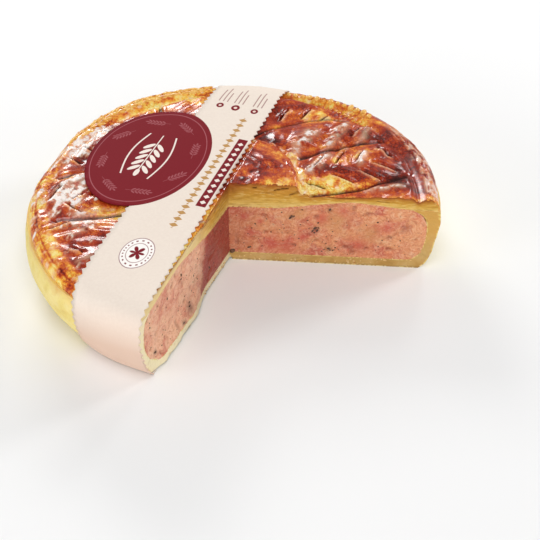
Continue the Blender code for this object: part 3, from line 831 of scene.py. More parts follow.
def lid_surface(x, y):
    """The lid's top: its height, how brown it is, the painted shade in its knife cuts, and where it has pale
    dry flakes or painted glare.
    """
    radius = np.hypot(x, y)
    azimuth = np.degrees(np.arctan2(y, x))
    degrees = azimuth + 360 * (azimuth < LEAST_AZIMUTH)
    from_right, from_left = from_cuts(x, y)
    inside_boss = boss_distance(x, y)
    reach = GROOVE_RADIUS + 3 * smooth(*LEFT_RIM, degrees)
    on_leaves = smooth(0.5, -4, inside_boss) * smooth(reach + 1, reach - 4, radius)
    leaf_height, bake, knife_line_shade = leaves(x, y, radius, azimuth)
    raised = 0.5 * (leaf_height - 1) * on_leaves
    glare_breakup = rough(x, y, 2.4, 80)

    height, bake, flakes_and_glare = with_boss(x, y, inside_boss, from_right, on_leaves * leaf_height, bake)
    height, bake, knife_line_shade, flakes_and_glare = with_slashes(x, y, height, bake, knife_line_shade * on_leaves, flakes_and_glare)
    height, flakes_and_glare = with_ridges(x, y, glare_breakup, height, flakes_and_glare)
    flakes_and_glare = np.maximum(flakes_and_glare, painted_glare(x, y, degrees, raised, glare_breakup))
    height, bake, flakes_and_glare, border = with_rim(x, y, degrees, height, bake, flakes_and_glare)

    edge = smooth(3.2, 0.6, from_right + bumps(x, y, 3, 77)) * smooth(40, 50, x)
    bake = bake + 0.24 * edge
    flakes_and_glare = flakes_and_glare * (1 - edge)
    coarse, fine = bumps(x, y, 3, 68), bumps(x, y, 1.4, 78)
    for spot_x, spot_y, size, change in PATCHES:
        ragged = 0.3 * size * coarse + 0.16 * size * fine
        bake = bake + change * bell(np.hypot(x - spot_x, y - spot_y) + ragged, size)
    flakes_and_glare = np.maximum(flakes_and_glare, 0.6 * smooth(0.36, 0.2, bake) * smooth(0.05, 0.45, rough(x, y, 2.6, 79)))
    by_left_cut = smooth(7, 3, from_left) * smooth(-2, -10, y)
    bake = mix(bake, 0.3 + 0.15 * rough(x, y, 4, 59) - 0.2 * smooth(-12, -42, y), by_left_cut)
    knife_line_shade = knife_line_shade * (1 - border)

    across = x * ACROSS[0] + y * ACROSS[1]
    bed = BED_LEVEL - LID_LEVEL + np.maximum(across - BED_EDGE, 0) * BED_SLOPE
    return np.minimum(height, bed), np.clip(bake, 0, 1), np.clip(knife_line_shade, 0, 1), np.clip(flakes_and_glare, 0, 1)


# Slits where the pastry's layers parted at the cuts: face, millimetres out and height at both ends, depth
SLITS = (
    (1, 19.2, 38.1, 24.9, 39.3, 1.0), (1, 25.6, 35.8, 28.8, 37.6, 0.9), (1, 10.3, 38.7, 11.5, 39.1, 1.3),
    (1, 14.0, 36.4, 19.0, 36.0, 0.5), (1, 3.0, 39.4, 7.5, 39.9, 0.5), (1, 30.7, 37.4, 31.4, 37.7, 1.0),
    (1, 46.0, 35.6, 53.0, 35.3, 0.5), (1, 62.0, 34.6, 67.0, 34.2, 0.5), (-1, 8.0, 36.0, 14.0, 35.4, 0.8),
    (-1, 19.0, 35.2, 27.0, 35.0, 0.8), (-1, 33.0, 35.8, 38.0, 35.4, 0.6),
)


def lid_shape(angle, v, w, cut):
    shares, layers = np.array(LID_SIDE).T
    share = v * np.interp(w, layers, shares)
    x, y = at_share(angle, share)
    surface, bake, knife_line_shade, flakes_and_glare = lid_surface(x, y)
    top = LID_LEVEL + surface
    height = mix(underside(share), top, w)
    fade = edge_fade(v, w, 0.012, 0.1) * np.abs(cut)
    out = share * rim_distance(angle)
    slit = np.zeros_like(x)
    wavy = height + 0.25 * bumps(out, height, 1.6, 73)
    for face, *line, deep in SLITS:
        away = to_line(out, wavy, line)[0]
        slit = np.maximum(slit, deep * bell(away, 0.38) * (cut == face))
    plies = 0.2 * rough(out * 0.35 + LEFT_CUT_SHIFT * (cut < 0), height * 2.2, 2.0, 74)
    plies = plies + 0.1 * rough(out, height, 1.6, 75)
    dx, dy = into_cut(angle, cut, fade * (plies + slit))
    # Near the corner the brown of the glazed skin reaches far down the cut faces: there it is partly painted
    # shadow of the band.
    skin_and_shadow_depth = 0.35 + 1.2 * smooth(34, 50, out) + 1.5 * smooth(30, 20, out) + 6.5 * bell(out, 4.5)
    skin = np.exp(-(top - height) / skin_and_shadow_depth)
    # Painted light: the left cut face is painted paler from 14 mm out, as if lit. Painted shade: the slits
    # are painted darker.
    fields = {"cut": np.abs(cut), "bake": bake, "knife_line_shade": knife_line_shade, "flakes_and_glare": flakes_and_glare, "slit": fade * slit, "layer": w,
              "skin": skin, "pale": (cut < 0) * smooth(14, 40, out)}
    return (x + dx, y + dy, height), fields


def lid_spacing(v, w):
    return LID_STEP if w == 1 or v == 1 else HIDDEN_STEP


def swayed(tree, value, sway, strength):
    """A value moved up and down by a noise."""
    return calc(tree, "MULTIPLY_ADD", calc(tree, "SUBTRACT", sway, 0.5), strength, value)


lid_material, tree, shader, place = new_material("egg_glazed_pastry")
fine = grain(tree, place, 0.0016, 1.0)
tiny = grain(tree, place, 0.0007, 1.0)
mottle = noise(tree, place, 260, 5, 0.7)
swirl = {"Vector": swirled(tree, place, 400, 2, 0.0016), "Scale": 560}
cracks = add(tree, "ShaderNodeTexVoronoi", swirl, feature="DISTANCE_TO_EDGE").outputs[0]
crackle = remap(tree, cracks, 0.0, 0.16)
patchy = noise(tree, place, 75, 3)
crackled = remap(tree, patchy, 0.45, 0.6, 0.2, 1.0)
speckle = noise(tree, place, 1100, 3, 0.6)
bake = swayed(tree, swayed(tree, field(tree, "bake"), mottle, 0.9), speckle, 0.45)
broken = times(tree, crackled, calc(tree, "SUBTRACT", 1.0, crackle))
bake = calc(tree, "MULTIPLY_ADD", broken, 0.18, bake)
glaze = ramp(tree, bake, ((0.0, "F6E39A"), (0.14, "F4CF62"), (0.28, "EDA23A"), (0.42, "DA7226"),
                          (0.55, "C04C1A"), (0.68, "A63010"), (0.82, "82200C"), (1.0, "4C1008")))
# Pale dry flakes, together with painted glare on the ridges and on the left half, in cream to near white.
flakes_and_glare_mask = times(tree, field(tree, "flakes_and_glare"), remap(tree, mottle, 0.37, 0.52, 0.3, 1.1))
flakes_and_glare_colour = blend(tree, remap(tree, flakes_and_glare_mask, 0.5, 0.85), "EFC4A0", "FBF0E8")
glaze = blend(tree, flakes_and_glare_mask, glaze, flakes_and_glare_colour)
# Painted shade: the knife lines are painted near black.
glaze = layered(tree, glaze, (("knife_line_shade", 0.3, 0.85, 0.9, "2C0E06"),))
layer = swayed(tree, field(tree, "layer"), mottle, 0.3)
crumb = ramp(tree, layer, ((0.0, "E6C67E"), (0.2, "DDB45C"), (0.45, "CF9C40"), (0.75, "C28836"),
                           (1.0, "B4742E")))
strata = noise(tree, vector_calc(tree, "MULTIPLY", place, (1.0, 1.0, 5.0)), 240, 4, 0.6)
# Painted light and shade on the lid's cut faces: the left face paler, as if lit, the skin's brown partly
# painted shadow of the band near the corner, and painted shade in the slits.
crumb = layered(tree, crumb, (
    (strata, 0.5, 0.66, 0.5, "A8742C"), (strata, 0.46, 0.34, 0.4, "EBD08A"), ("pale", 0, 1, 0.75, "F0DCA6"),
    ("skin", 0.3, 0.95, 0.9, "8C3A14"), ("slit", 0.15, 0.7, 0.8, "6E4018"),
))
is_cut = field(tree, "cut")
colour = blend(tree, is_cut, glaze, crumb)
tree.links.new(colour, shader.inputs["Base Color"])
dry = calc(tree, "MAXIMUM", is_cut, remap(tree, field(tree, "bake"), 0.34, 0.14))
tree.links.new(remap(tree, dry, 0, 1, 0.5, 0.62), shader.inputs["Roughness"])
whole = remap(tree, patchy, 0.42, 0.6, 1.0, 0.45)
tree.links.new(times(tree, remap(tree, dry, 0, 1, 0.8, 0.06), whole), shader.inputs["Coat Weight"])
set_inputs(shader, {"Coat Roughness": 0.2, "Coat IOR": 1.6, "Specular IOR Level": 0.08})
soften(shader, 0.05, (1.0, 0.45, 0.2), 0.001)
height = calc(tree, "MULTIPLY_ADD", tiny["Height"], 0.4, fine["Height"])
glazed = calc(tree, "SUBTRACT", 1.0, is_cut)
crackle_relief = times(tree, times(tree, crackled, glazed), 0.9)
height = calc(tree, "MULTIPLY_ADD", crackle, crackle_relief, height)
relief(tree, shader, height, 0.0005, 0.65)

lid_rows = np.linspace(0, 1, round(RIM_RADIUS / LID_STEP) + 1)
lid = cut_block("glazed_lid", lid_material, lid_shape, lid_rows, np.linspace(0, 1, LID_LAYERS), lid_spacing)
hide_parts("lid")
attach(lid, "root")


# The crimped rim: where the lid was pinched onto the base at the back, small golden folds stand along
# the edge. To the band's right they are short pinches and to its left long twisted strands. Both are
# the lid's own pastry, grown in rows along the rim's line.
# Each row: first and last degree, share of the radius, pitch, size of a fold, twist and how deep it sits
PINCH_ROWS = (
    ("pinched_rim", 41, 70, 0.957, 3.5, (1.35, 2.2, 1.2), 22, 0.2),
    ("outer_strands", 97, 151, 0.978, 2.3, (3.6, 0.85, 0.8), 16, 0.35),
    ("inner_strands", 99, 146, 0.95, 2.7, (3.2, 0.8, 0.75), -22, 0.45),
)
PATH_POINTS = 90

# How far a fold turns at random, and between which sizes it varies
LOOSE_TURN = 0.22
UNEVEN_SIZES = (0.82, 1.15)


def new_tree(name, inputs):
    """A geometry node tree with its named inputs after the geometry."""
    group = bpy.data.node_groups.new(name, "GeometryNodeTree")
    group.interface.new_socket("Geometry", in_out="INPUT", socket_type="NodeSocketGeometry")
    for label, kind in inputs.items():
        group.interface.new_socket(label, in_out="INPUT", socket_type="NodeSocket" + kind)
    group.interface.new_socket("Geometry", in_out="OUTPUT", socket_type="NodeSocketGeometry")
    return group, add(group, "NodeGroupInput").outputs


def random_between(group, low, high, seed):
    node = add(group, "FunctionNodeRandomValue", {2: low, 3: high, "Seed": seed}, data_type="FLOAT")
    return node.outputs[1]


def set_balls(group, points, facing, axis, turn, size, material):
    """Sets a small ball on every point, one axis in a given direction, then turned, sized and painted."""
    ball = add(group, "GeometryNodeMeshIcoSphere", {"Radius": 1.0, "Subdivisions": 2}).outputs[0]
    aligned = add(group, "FunctionNodeAlignRotationToVector", {"Vector": facing}, axis=axis).outputs[0]
    turned = add(group, "FunctionNodeRotateRotation", (aligned, turn), rotation_space="LOCAL").outputs[0]
    inputs = {"Points": points, "Instance": ball, "Rotation": turned, "Scale": size}
    placed = add(group, "GeometryNodeInstanceOnPoints", inputs).outputs[0]
    real = add(group, "GeometryNodeRealizeInstances", (placed,)).outputs[0]
    painted = add(group, "GeometryNodeSetMaterial", {"Geometry": real, "Material": material}).outputs[0]
    add(group, "NodeGroupOutput", (painted,))
    return group


def grown(name, points, edges, fields, group, values):
    """A piece that a node tree grows on points in millimetres."""
    seedling = new_object(name, new_mesh(name, points, edges, [], fields))
    modifier = seedling.modifiers.new("Grow", "NODES")
    modifier.node_group = group
    for item in group.interface.items_tree:
        if item.in_out == "INPUT" and item.name in values:
            modifier[item.identifier] = values[item.name]
    evaluated = seedling.evaluated_get(bpy.context.evaluated_depsgraph_get())
    full = bpy.data.meshes.new_from_object(evaluated)
    seedling.modifiers.remove(modifier)
    seedling.data = full
    full.shade_smooth()
    return seedling


def make_pinch_tree():
    """Pinches set along a line, each turned and sized a little differently."""
    inputs = {"Pitch": "Float", "Size": "Vector", "Twist": "Float", "Seed": "Int", "Material": "Material"}
    group, given = new_tree("Row of pinches", inputs)
    line = add(group, "GeometryNodeMeshToCurve", (given["Geometry"],)).outputs[0]
    inputs = {"Curve": line, "Length": given["Pitch"]}
    spaced = add(group, "GeometryNodeResampleCurve", inputs, mode="LENGTH").outputs[0]
    tangent = add(group, "GeometryNodeInputTangent").outputs[0]
    loose = random_between(group, -LOOSE_TURN, LOOSE_TURN, given["Seed"])
    twist = calc(group, "ADD", given["Twist"], loose)
    turn = add(group, "ShaderNodeCombineXYZ", (loose, 0.0, twist)).outputs[0]
    uneven = random_between(group, *UNEVEN_SIZES, calc(group, "ADD", given["Seed"], 1))
    size = add(group, "ShaderNodeVectorMath", {0: given["Size"], 3: uneven}, operation="SCALE").outputs[0]
    return set_balls(group, spaced, tangent, "X", turn, size, given["Material"])


pinch_material, tree, shader, place = new_material("pinched_pastry")
fine = grain(tree, place, 0.0012, 1.0)
clouds = noise(tree, place, 330, 3)
golden = ramp(tree, clouds, ((0.3, "B4601E"), (0.42, "DE9838"), (0.55, "F0C26C"), (0.66, "E6A848"),
                             (0.8, "BE6A24")))
tree.links.new(golden, shader.inputs["Base Color"])
set_inputs(shader, {"Roughness": 0.5, "Specular IOR Level": 0.1, "Coat Weight": 0.4, "Coat Roughness": 0.15})
relief(tree, shader, fine["Height"], 0.0004, 0.6)

pinch_tree = make_pinch_tree()
path_edges = [(k, k + 1) for k in range(PATH_POINTS - 1)]
for name, start, end, share, pitch, size, twist, sunk in PINCH_ROWS:
    path_x, path_y = at_share(np.radians(np.linspace(start, end, PATH_POINTS)), share)
    path_z = LID_LEVEL + lid_surface(path_x, path_y)[0] - sunk
    values = {"Pitch": pitch * MM, "Size": [side * MM for side in size], "Twist": math.radians(twist),
              "Seed": start, "Material": pinch_material}
    row = grown(name, (path_x, path_y, path_z), path_edges, {}, pinch_tree, values)
    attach(row, "root")


# Herbs and crumbs: chopped herbs and pepper show as dark specks in the cut meat, and the knife left
# small crumbs of crust along the foot of the cuts. Both cling to the cut faces.
# Herbs that stand out: millimetres out from the corner, height, size and how long they are for their width
RIGHT_HERBS = (
    (26.2, 24.6, 1.3, 2.8), (27.4, 25.1, 0.7, 1.8), (36.6, 19.2, 1.1, 1.6), (37.6, 18.0, 0.9, 2.0),
    (35.6, 17.7, 0.8, 2.2), (36.4, 16.9, 0.5, 1.4), (38.2, 19.4, 0.5, 1.6), (42.6, 29.6, 0.7, 1.6),
    (37.9, 22.1, 0.5, 1.4), (8.6, 7.1, 1.0, 2.2), (42.8, 8.6, 0.8, 2.2), (43.4, 7.8, 0.5, 1.6),
    (41.0, 8.0, 0.45, 1.4), (44.6, 7.6, 0.45, 1.2), (39.9, 6.9, 0.4, 1.2), (45.6, 9.2, 0.4, 1.2),
    (11.2, 20.2, 0.45, 1.4), (31.0, 28.6, 0.45, 1.3), (22.4, 27.0, 0.4, 1.2), (1.2, 4.7, 1.4, 1.3),
    (63.0, 24.0, 0.6, 1.6),
)
LEFT_HERBS = (
    (20.6, 11.3, 0.8, 2.0), (46.7, 28.0, 0.8, 2.0), (42.6, 8.4, 0.8, 2.4), (41.9, 9.6, 0.7, 2.0),
    (49.8, 5.4, 0.6, 1.6), (73.9, 9.2, 0.8, 1.8), (45.8, 25.1, 0.6, 2.0), (58.9, 25.4, 0.6, 1.8),
    (74.3, 23.5, 0.5, 1.6), (36.0, 19.0, 0.5, 1.6), (31.5, 24.5, 0.5, 1.8),
)

# Tiny herbs, strewn at random: how many, and between which values those same four lie
TINY_HERBS = 150
TINY_RANGES = ((3, 78), (5.5, 29), (0.14, 0.42), (1.0, 3.0))
CRUMBS = 120
HERB_THICKNESS = 0.4
CRUMB_THICKNESS = 0.6


def make_bits_tree():
    """Small flat bits lying on the cut faces, each turned at random."""
    inputs = {"Thickness": "Float", "Seed": "Int", "Material": "Material"}
    group, given = new_tree("Clinging bits", inputs)
    named = {label: add(group, "GeometryNodeInputNamedAttribute", {"Name": label}, data_type=kind).outputs[0]
             for label, kind in (("size", "FLOAT"), ("stretch", "FLOAT"), ("facing", "FLOAT_VECTOR"))}
    spun = random_between(group, -1.2, 1.2, given["Seed"])
    turn = add(group, "ShaderNodeCombineXYZ", (0.0, 0.0, spun)).outputs[0]
    narrow = calc(group, "DIVIDE", named["size"], named["stretch"])
    thin = times(group, named["size"], given["Thickness"])
    size = add(group, "ShaderNodeCombineXYZ", (named["size"], narrow, thin)).outputs[0]
    return set_balls(group, given["Geometry"], named["facing"], "Z", turn, size, given["Material"])


def cut_angle(face):
    return np.where(face > 0, RIGHT_CUT, LEFT_CUT)


def on_filling(face, out, height):
    """The spot on a filling's cut face that lies so far out and so high."""
    angle = cut_angle(face)
    share = out / rim_distance(angle)
    w = (height - BASE_THICKNESS) / (underside(share) - BASE_THICKNESS)
    v = share / side_share(mix(BASE_THICKNESS, SEAM_HEIGHT, w))
    return filling_shape(angle, np.clip(v, 0, 1), np.clip(w, 0, 1), face)[0]


def facing_out(face):
    angle = cut_angle(face)
    return np.stack((np.sin(angle) * face, -np.cos(angle) * face, np.zeros_like(angle)), axis=1)


def plain_material(name, stops, roughness):
    material, tree, shader, place = new_material(name)
    tree.links.new(ramp(tree, noise(tree, place, 700, 2), stops), shader.inputs["Base Color"])
    set_inputs(shader, {"Roughness": roughness})
    return material


bits_tree = make_bits_tree()
chance = np.random.default_rng(17)
placed = np.array(RIGHT_HERBS + LEFT_HERBS).T
placed_face = [1.0] * len(RIGHT_HERBS) + [-1.0] * len(LEFT_HERBS)
face = np.concatenate((placed_face, chance.choice((1, -1), TINY_HERBS)))
out, height, size, stretch = (np.concatenate((values, chance.uniform(low, high, TINY_HERBS)))
                              for values, (low, high) in zip(placed, TINY_RANGES))
herb_fields = {"size": size * MM, "stretch": stretch, "facing": facing_out(face)}
herb_material = plain_material("dark_herbs", ((0.35, "3A2A1E"), (0.55, "5A3C2A"), (0.7, "7C5640")), 0.6)
herb_values = {"Thickness": HERB_THICKNESS, "Seed": 3, "Material": herb_material}
herbs = grown("herb_specks", on_filling(face, out, height), [], herb_fields, bits_tree, herb_values)
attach(herbs, "root")

face = chance.choice((1, -1), CRUMBS, p=(0.35, 0.65))
out = chance.uniform(2, 80, CRUMBS)
height = np.abs(chance.normal(0.4, 1.6, CRUMBS)) + 0.5
angle = cut_angle(face)
crumb_points = at_share(angle, np.minimum(out / rim_distance(angle), 0.93))
crumb_fields = {"size": chance.uniform(0.2, 0.55, CRUMBS) * MM, "stretch": chance.uniform(1, 1.8, CRUMBS),
                "facing": facing_out(face)}
crumb_material = plain_material("crust_crumbs", ((0.3, "B98640"), (0.5, "DDB878"), (0.7, "EBD3A0")), 0.7)
crumb_values = {"Thickness": CRUMB_THICKNESS, "Seed": 8, "Material": crumb_material}
crumbs = grown("crust_crumbs", (*crumb_points, height), [], crumb_fields, bits_tree, crumb_values)
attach(crumbs, "root")


# The card band: one strip of thin printed card, cut with a zigzag edge and with an oval label standing
# out of its left side. It is pulled tight over the pie, down both sides, and closed under the base.
BAND_RIGHT = -5.5
BAND_LEFT = -36.6
BESIDE_CUT = -7.8
BEND_FROM = 50
CARD = 0.4
CARD_CLEARANCE = 0.2
BAND_GAP = 0.5
TOOTH_ROWS = 128
ROWS_A_TOOTH = 4
SHOWN = TOOTH_ROWS * ROWS_A_TOOTH
UNDER_ROWS = 16
BEND_SMOOTHING = 40
TOOTH_DEPTH = 1.2
HULL_SIDES = 16
LABEL_SIDES = 72
LABEL_ALONG = -7.2
LABEL_ACROSS = -43.2
LABEL_LENGTH = 73
LABEL_WIDTH = 50
CREASE_STEP = 3.1
PRINT_UNIT = 100

# How near the card's points count as one place or one level, and the same where the flat blank is cut
CARD_WELD = 0.01
BLANK_SNAP = 1e-4

# How finely the pie's skin is sampled below the card, and how far out the lid counts as its top
WALL_KNOTS = CRUST_OUTSIDE[4:]
SECTION_ANGLES = 1400
SECTION_STEP = 0.5
TOP_SHARE = 0.985
BAND_STATIONS = 6
LABEL_STATIONS = 5


def pie_section(across):
    """Where the upright plane at one offset across the band meets the pie's skin: points (along, height)."""
    points = []
    for angle in np.linspace(RIGHT_CUT, LEFT_CUT, SECTION_ANGLES):
        for share, height in WALL_KNOTS:
            x, y = at_share(angle, share - tucked(angle, share, height))
            if abs(x * ACROSS[0] + y * ACROSS[1] - across) < SECTION_STEP:
                points.append((x * ALONG[0] + y * ALONG[1], height))
    ends = max(abs(along) for along, _ in points)
    along = np.arange(-ends, ends, SECTION_STEP)
    x = along * ALONG[0] + across * ACROSS[0]
    y = along * ALONG[1] + across * ACROSS[1]
    on_lid = share_at(x, y) < TOP_SHARE
    heights = LID_LEVEL + lid_surface(x, y)[0]
    return points + [(a, h) for a, h, inside in zip(along, heights, on_lid) if inside]


def taut_loop(points):
    """The card's mid line, pulled tight round a section at its gap from the pastry."""
    offset = BAND_GAP + CARD / 2
    floor = CARD_CLEARANCE + CARD / 2
    grown_points = []
    for turn in np.arange(HULL_SIDES) * 2 * math.pi / HULL_SIDES:
        for along, height in points:
            lifted = max(height + offset * math.sin(turn), floor)
            grown_points.append(Vector((along + offset * math.cos(turn), lifted)))
    return [grown_points[index] for index in geometry.convex_hull_2d(grown_points)]


def spread(corners, count):
    """Points at an even spacing along an open line, its last end included."""
    line = np.array(corners)
    travelled = arc_lengths(line)
    places = np.linspace(0, travelled[-1], count + 1)
    return np.stack([np.interp(places, travelled, line[:, k]) for k in (0, 1)], axis=1)


def band_rows(loop):
    """The rows of one taut loop: over the pie from the front's foot to the back's, then back below it."""
    lowest = min(point.y for point in loop)
    feet = [point for point in loop if point.y < lowest + CARD_WELD]
    front = loop.index(max(feet, key=lambda point: point.x))
    loop = loop[front:] + loop[:front]
    back = loop.index(min(feet, key=lambda point: point.x))
    shown = spread(loop[:back + 1], SHOWN)
    for _ in range(BEND_SMOOTHING):
        shown[1:-1] = (shown[:-2] + 2 * shown[1:-1] + shown[2:]) / 4
    below = spread([loop[back], loop[0]], UNDER_ROWS)
    return np.vstack((shown, below[1:]))


label_edge = LABEL_ACROSS - LABEL_WIDTH / 2
stations = [mix(BESIDE_CUT, BAND_LEFT, k / BAND_STATIONS) for k in range(BAND_STATIONS + 1)]
stations += [mix(BAND_LEFT, label_edge, k / LABEL_STATIONS) for k in range(1, LABEL_STATIONS + 1)]
band_table = np.array([band_rows(taut_loop(pie_section(across))) for across in stations])
arc_table = np.array([arc_lengths(rows) for rows in band_table])
middles = [np.interp(0, -rows[:SHOWN, 0], arcs[:SHOWN]) for rows, arcs in zip(band_table, arc_table)]
laid_table = np.dstack((band_table, np.array(middles)[:, None] - arc_table))


def wrap(row, across):
    """Where a point of the blank comes to lie: along, height, and how far forward on the card it is."""
    index = min(int(row), SHOWN + UNDER_ROWS - 1)
    station = next((k for k in range(len(stations) - 2) if across >= stations[k + 1]), len(stations) - 2)
    share = (across - stations[station]) / (stations[station + 1] - stations[station])
    near = mix(laid_table[station][index], laid_table[station][index + 1], row - index)
    far = mix(laid_table[station + 1][index], laid_table[station + 1][index + 1], row - index)
    return mix(near, far, share)


def row_over(along, across):
    """The row of the blank that comes to lie at a given spot on top of the pie."""
    row = next(row for row in range(SHOWN // 4, SHOWN) if wrap(row, across)[0] < along)
    before, after = wrap(row - 1, across)[0], wrap(row, across)[0]
    return row - (along - after) / (before - after)


def tooth(row, mean):
    """One corner of the zigzag: every other one stands out."""
    out = TOOTH_DEPTH / 2 if row // ROWS_A_TOOTH % 2 else -TOOTH_DEPTH / 2
    return Vector((row, mean + (out if 0 < row < SHOWN else 0), 0))


def band_blank():
    """The flat blank, in rows and millimetres across, with a crease wherever the card bends."""
    lean = math.asin((BAND_LEFT - LABEL_ACROSS) / (LABEL_WIDTH / 2))
    label = []
    for angle in np.linspace(-lean, math.pi + lean, LABEL_SIDES):
        across = LABEL_ACROSS - LABEL_WIDTH / 2 * math.sin(angle)
        label.append(Vector((row_over(LABEL_ALONG + LABEL_LENGTH / 2 * math.cos(angle), across), across, 0)))
    corners = list(range(0, SHOWN + 1, ROWS_A_TOOTH)) + [SHOWN + UNDER_ROWS]
    left = [tooth(row, BAND_LEFT) for row in corners if row < label[0].x - 0.5] + label
    left += [tooth(row, BAND_LEFT) for row in corners if row > label[-1].x + 0.5]
    right = [tooth(row, BAND_RIGHT) for row in corners]
    bm = bmesh.new()
    bm.faces.new([bm.verts.new(point) for point in right + left[::-1]])
    rows = range(1, SHOWN + UNDER_ROWS)
    bends = [row for row in rows if row % ROWS_A_TOOTH == 0 or abs(wrap(row, BAND_LEFT)[0]) > BEND_FROM]
    creases = [(row, 0) for row in bends]
    creases += [(0, across) for across in np.arange(label_edge + CREASE_STEP, BAND_RIGHT, CREASE_STEP)]
    for row, across in creases:
        everything = list(bm.verts) + list(bm.edges) + list(bm.faces)
        direction = (0, 1, 0) if across else (1, 0, 0)
        place = (row, across, 0)
        bmesh.ops.bisect_plane(bm, geom=everything, dist=BLANK_SNAP, plane_co=place, plane_no=direction)
    bmesh.ops.triangulate(bm, faces=bm.faces)
    return bm


def make_band():
    """The blank laid round the pie, with the print's own places on it, as thick as the card."""
    bm = band_blank()
    uv = bm.loops.layers.uv.new("print")
    for vert in bm.verts:
        along, height, forward = wrap(vert.co.x, vert.co.y)
        across = vert.co.y
        for loop in vert.link_loops:
            loop[uv].uv = (forward / PRINT_UNIT, across / PRINT_UNIT)
        x, y = along * ALONG + across * ACROSS
        vert.co = Vector((x, y, height)) * MM
    band = welded("card_band", bm, bpy.data.meshes.new("card_band"), CARD_WELD)
    card = band.modifiers.new("Card", "SOLIDIFY")
    card.thickness = CARD * MM
    card.offset = 0
    return band


card_material, tree, shader, place = new_material("printed_card")
printed = add(tree, "ShaderNodeUVMap", uv_map="print").outputs[0]
spot = add(tree, "ShaderNodeSeparateXYZ", (printed,)).outputs
forward = times(tree, spot[0], PRINT_UNIT)
across = times(tree, spot[1], PRINT_UNIT)
MAROON = "7E1E27"
ROSE = "AC6268"
GOLD = "BE9158"
CREAM = "EFE2D5"
PALE = "F3E6DC"
BAR_EDGE = 0.08

# Where the seal and the ring marks lie: millimetres forward on the card, and for the seal across it too
SEAL = (54.5, -21)
RINGS_FORWARD = -54.8


def offset(middle_forward, middle_across):
    return calc(tree, "SUBTRACT", forward, middle_forward), calc(tree, "SUBTRACT", across, middle_across)


def reach_of(a, b, half_length, half_width):
    """How far out a spot is from an oval's middle: 1 at its edge."""
    a, b = calc(tree, "DIVIDE", a, half_length), calc(tree, "DIVIDE", b, half_width)
    return calc(tree, "SQRT", calc(tree, "ADD", times(tree, a, a), times(tree, b, b)))


def oval(middle_forward, middle_across, half_length, half_width):
    return reach_of(*offset(middle_forward, middle_across), half_length, half_width)


def small_oval(run, side, middle_run, middle_side, half_length, half_width):
    """A mask that is 1 inside a small oval."""
    a, b = calc(tree, "SUBTRACT", run, middle_run), calc(tree, "SUBTRACT", side, middle_side)
    return remap(tree, reach_of(a, b, half_length, half_width), 1.05, 0.95)


def within(value, low, high, edge=0.02):
    """A mask that is 1 between two values, with soft edges."""
    rising = remap(tree, value, low - edge, low + edge)
    return times(tree, rising, remap(tree, value, high + edge, high - edge))


def bar(low_forward, high_forward, low_across, high_across):
    inside = within(forward, low_forward, high_forward, BAR_EDGE)
    return times(tree, inside, within(across, low_across, high_across, BAR_EDGE))


def lozenges(start, pitch, middle_across, half_length, half_width):
    """A row of lozenges along the band, one of them at the start."""
    a = calc(tree, "PINGPONG", calc(tree, "SUBTRACT", forward, start), pitch / 2)
    b = calc(tree, "ABSOLUTE", calc(tree, "SUBTRACT", across, middle_across))
    reach = calc(tree, "ADD", calc(tree, "DIVIDE", a, half_length), calc(tree, "DIVIDE", b, half_width))
    return remap(tree, reach, 1.05, 0.95)


def ear(middle_forward, middle_across, turn, unit):
    """An ear of wheat: a stem with three pairs of slanted grains and one grain at its tip."""
    a, b = offset(middle_forward, middle_across)
    cos, sin = math.cos(turn) / unit, math.sin(turn) / unit
    run = calc(tree, "MULTIPLY_ADD", a, cos, times(tree, b, sin))
    side = calc(tree, "ABSOLUTE", calc(tree, "MULTIPLY_ADD", b, cos, times(tree, a, -sin)))
    slanted = calc(tree, "MULTIPLY_ADD", side, -0.9, run)
    pair = calc(tree, "FRACT", calc(tree, "ADD", slanted, 8))
    grains = times(tree, small_oval(pair, side, 0.5, 0.62, 0.36, 0.5), within(slanted, -3, 2, 0.01))
    stem = times(tree, remap(tree, side, 0.075, 0.05), within(run, -4.2, 2.2, 0.05))
    tip = small_oval(run, side, 2.75, 0, 0.62, 0.26)
    return calc(tree, "MAXIMUM", calc(tree, "MAXIMUM", grains, stem), tip)


def inked(colour, mask, ink, strength=1.0):
    return blend(tree, times(tree, mask, strength), colour, ink)


fibres = noise(tree, place, 900, 4, 0.6)
card = ramp(tree, fibres, ((0.3, "EADCCF"), (0.7, CREAM)))
# Painted shade: the card is painted darker and pinker where it hangs down the front.
card = blend(tree, remap(tree, forward, 82, 102), card, "E6C8B4")

# A generic ornament on the label: an ear of wheat between two curved lines, and faint ears inside a thin ring
label = oval(LABEL_ALONG, LABEL_ACROSS, LABEL_LENGTH / 2, LABEL_WIDTH / 2)
card = inked(card, within(label, -1, 1.012, 0.003), MAROON)
card = inked(card, within(label, 0.92, 0.932, 0.004), ROSE)
for step in range(8):
    turn = math.radians(22.5 + 45 * step)
    ear_forward = LABEL_ALONG + 0.74 * LABEL_LENGTH / 2 * math.cos(turn)
    ear_across = LABEL_ACROSS + 0.74 * LABEL_WIDTH / 2 * math.sin(turn)
    card = inked(card, ear(ear_forward, ear_across, turn + math.radians(75), 1.55), ROSE, 0.7)
card = inked(card, ear(LABEL_ALONG + 1.7, LABEL_ACROSS, 0, 4.2), PALE)
from_middle, aside = offset(LABEL_ALONG, LABEL_ACROSS)
curve = calc(tree, "MULTIPLY_ADD", calc(tree, "COSINE", times(tree, from_middle, 0.1)), 2.4, 6.2)
to_curve = calc(tree, "ABSOLUTE", calc(tree, "SUBTRACT", calc(tree, "ABSOLUTE", aside), curve))
curves = times(tree, remap(tree, to_curve, 0.42, 0.28), within(from_middle, -16, 16, 0.1))
card = inked(card, curves, PALE)

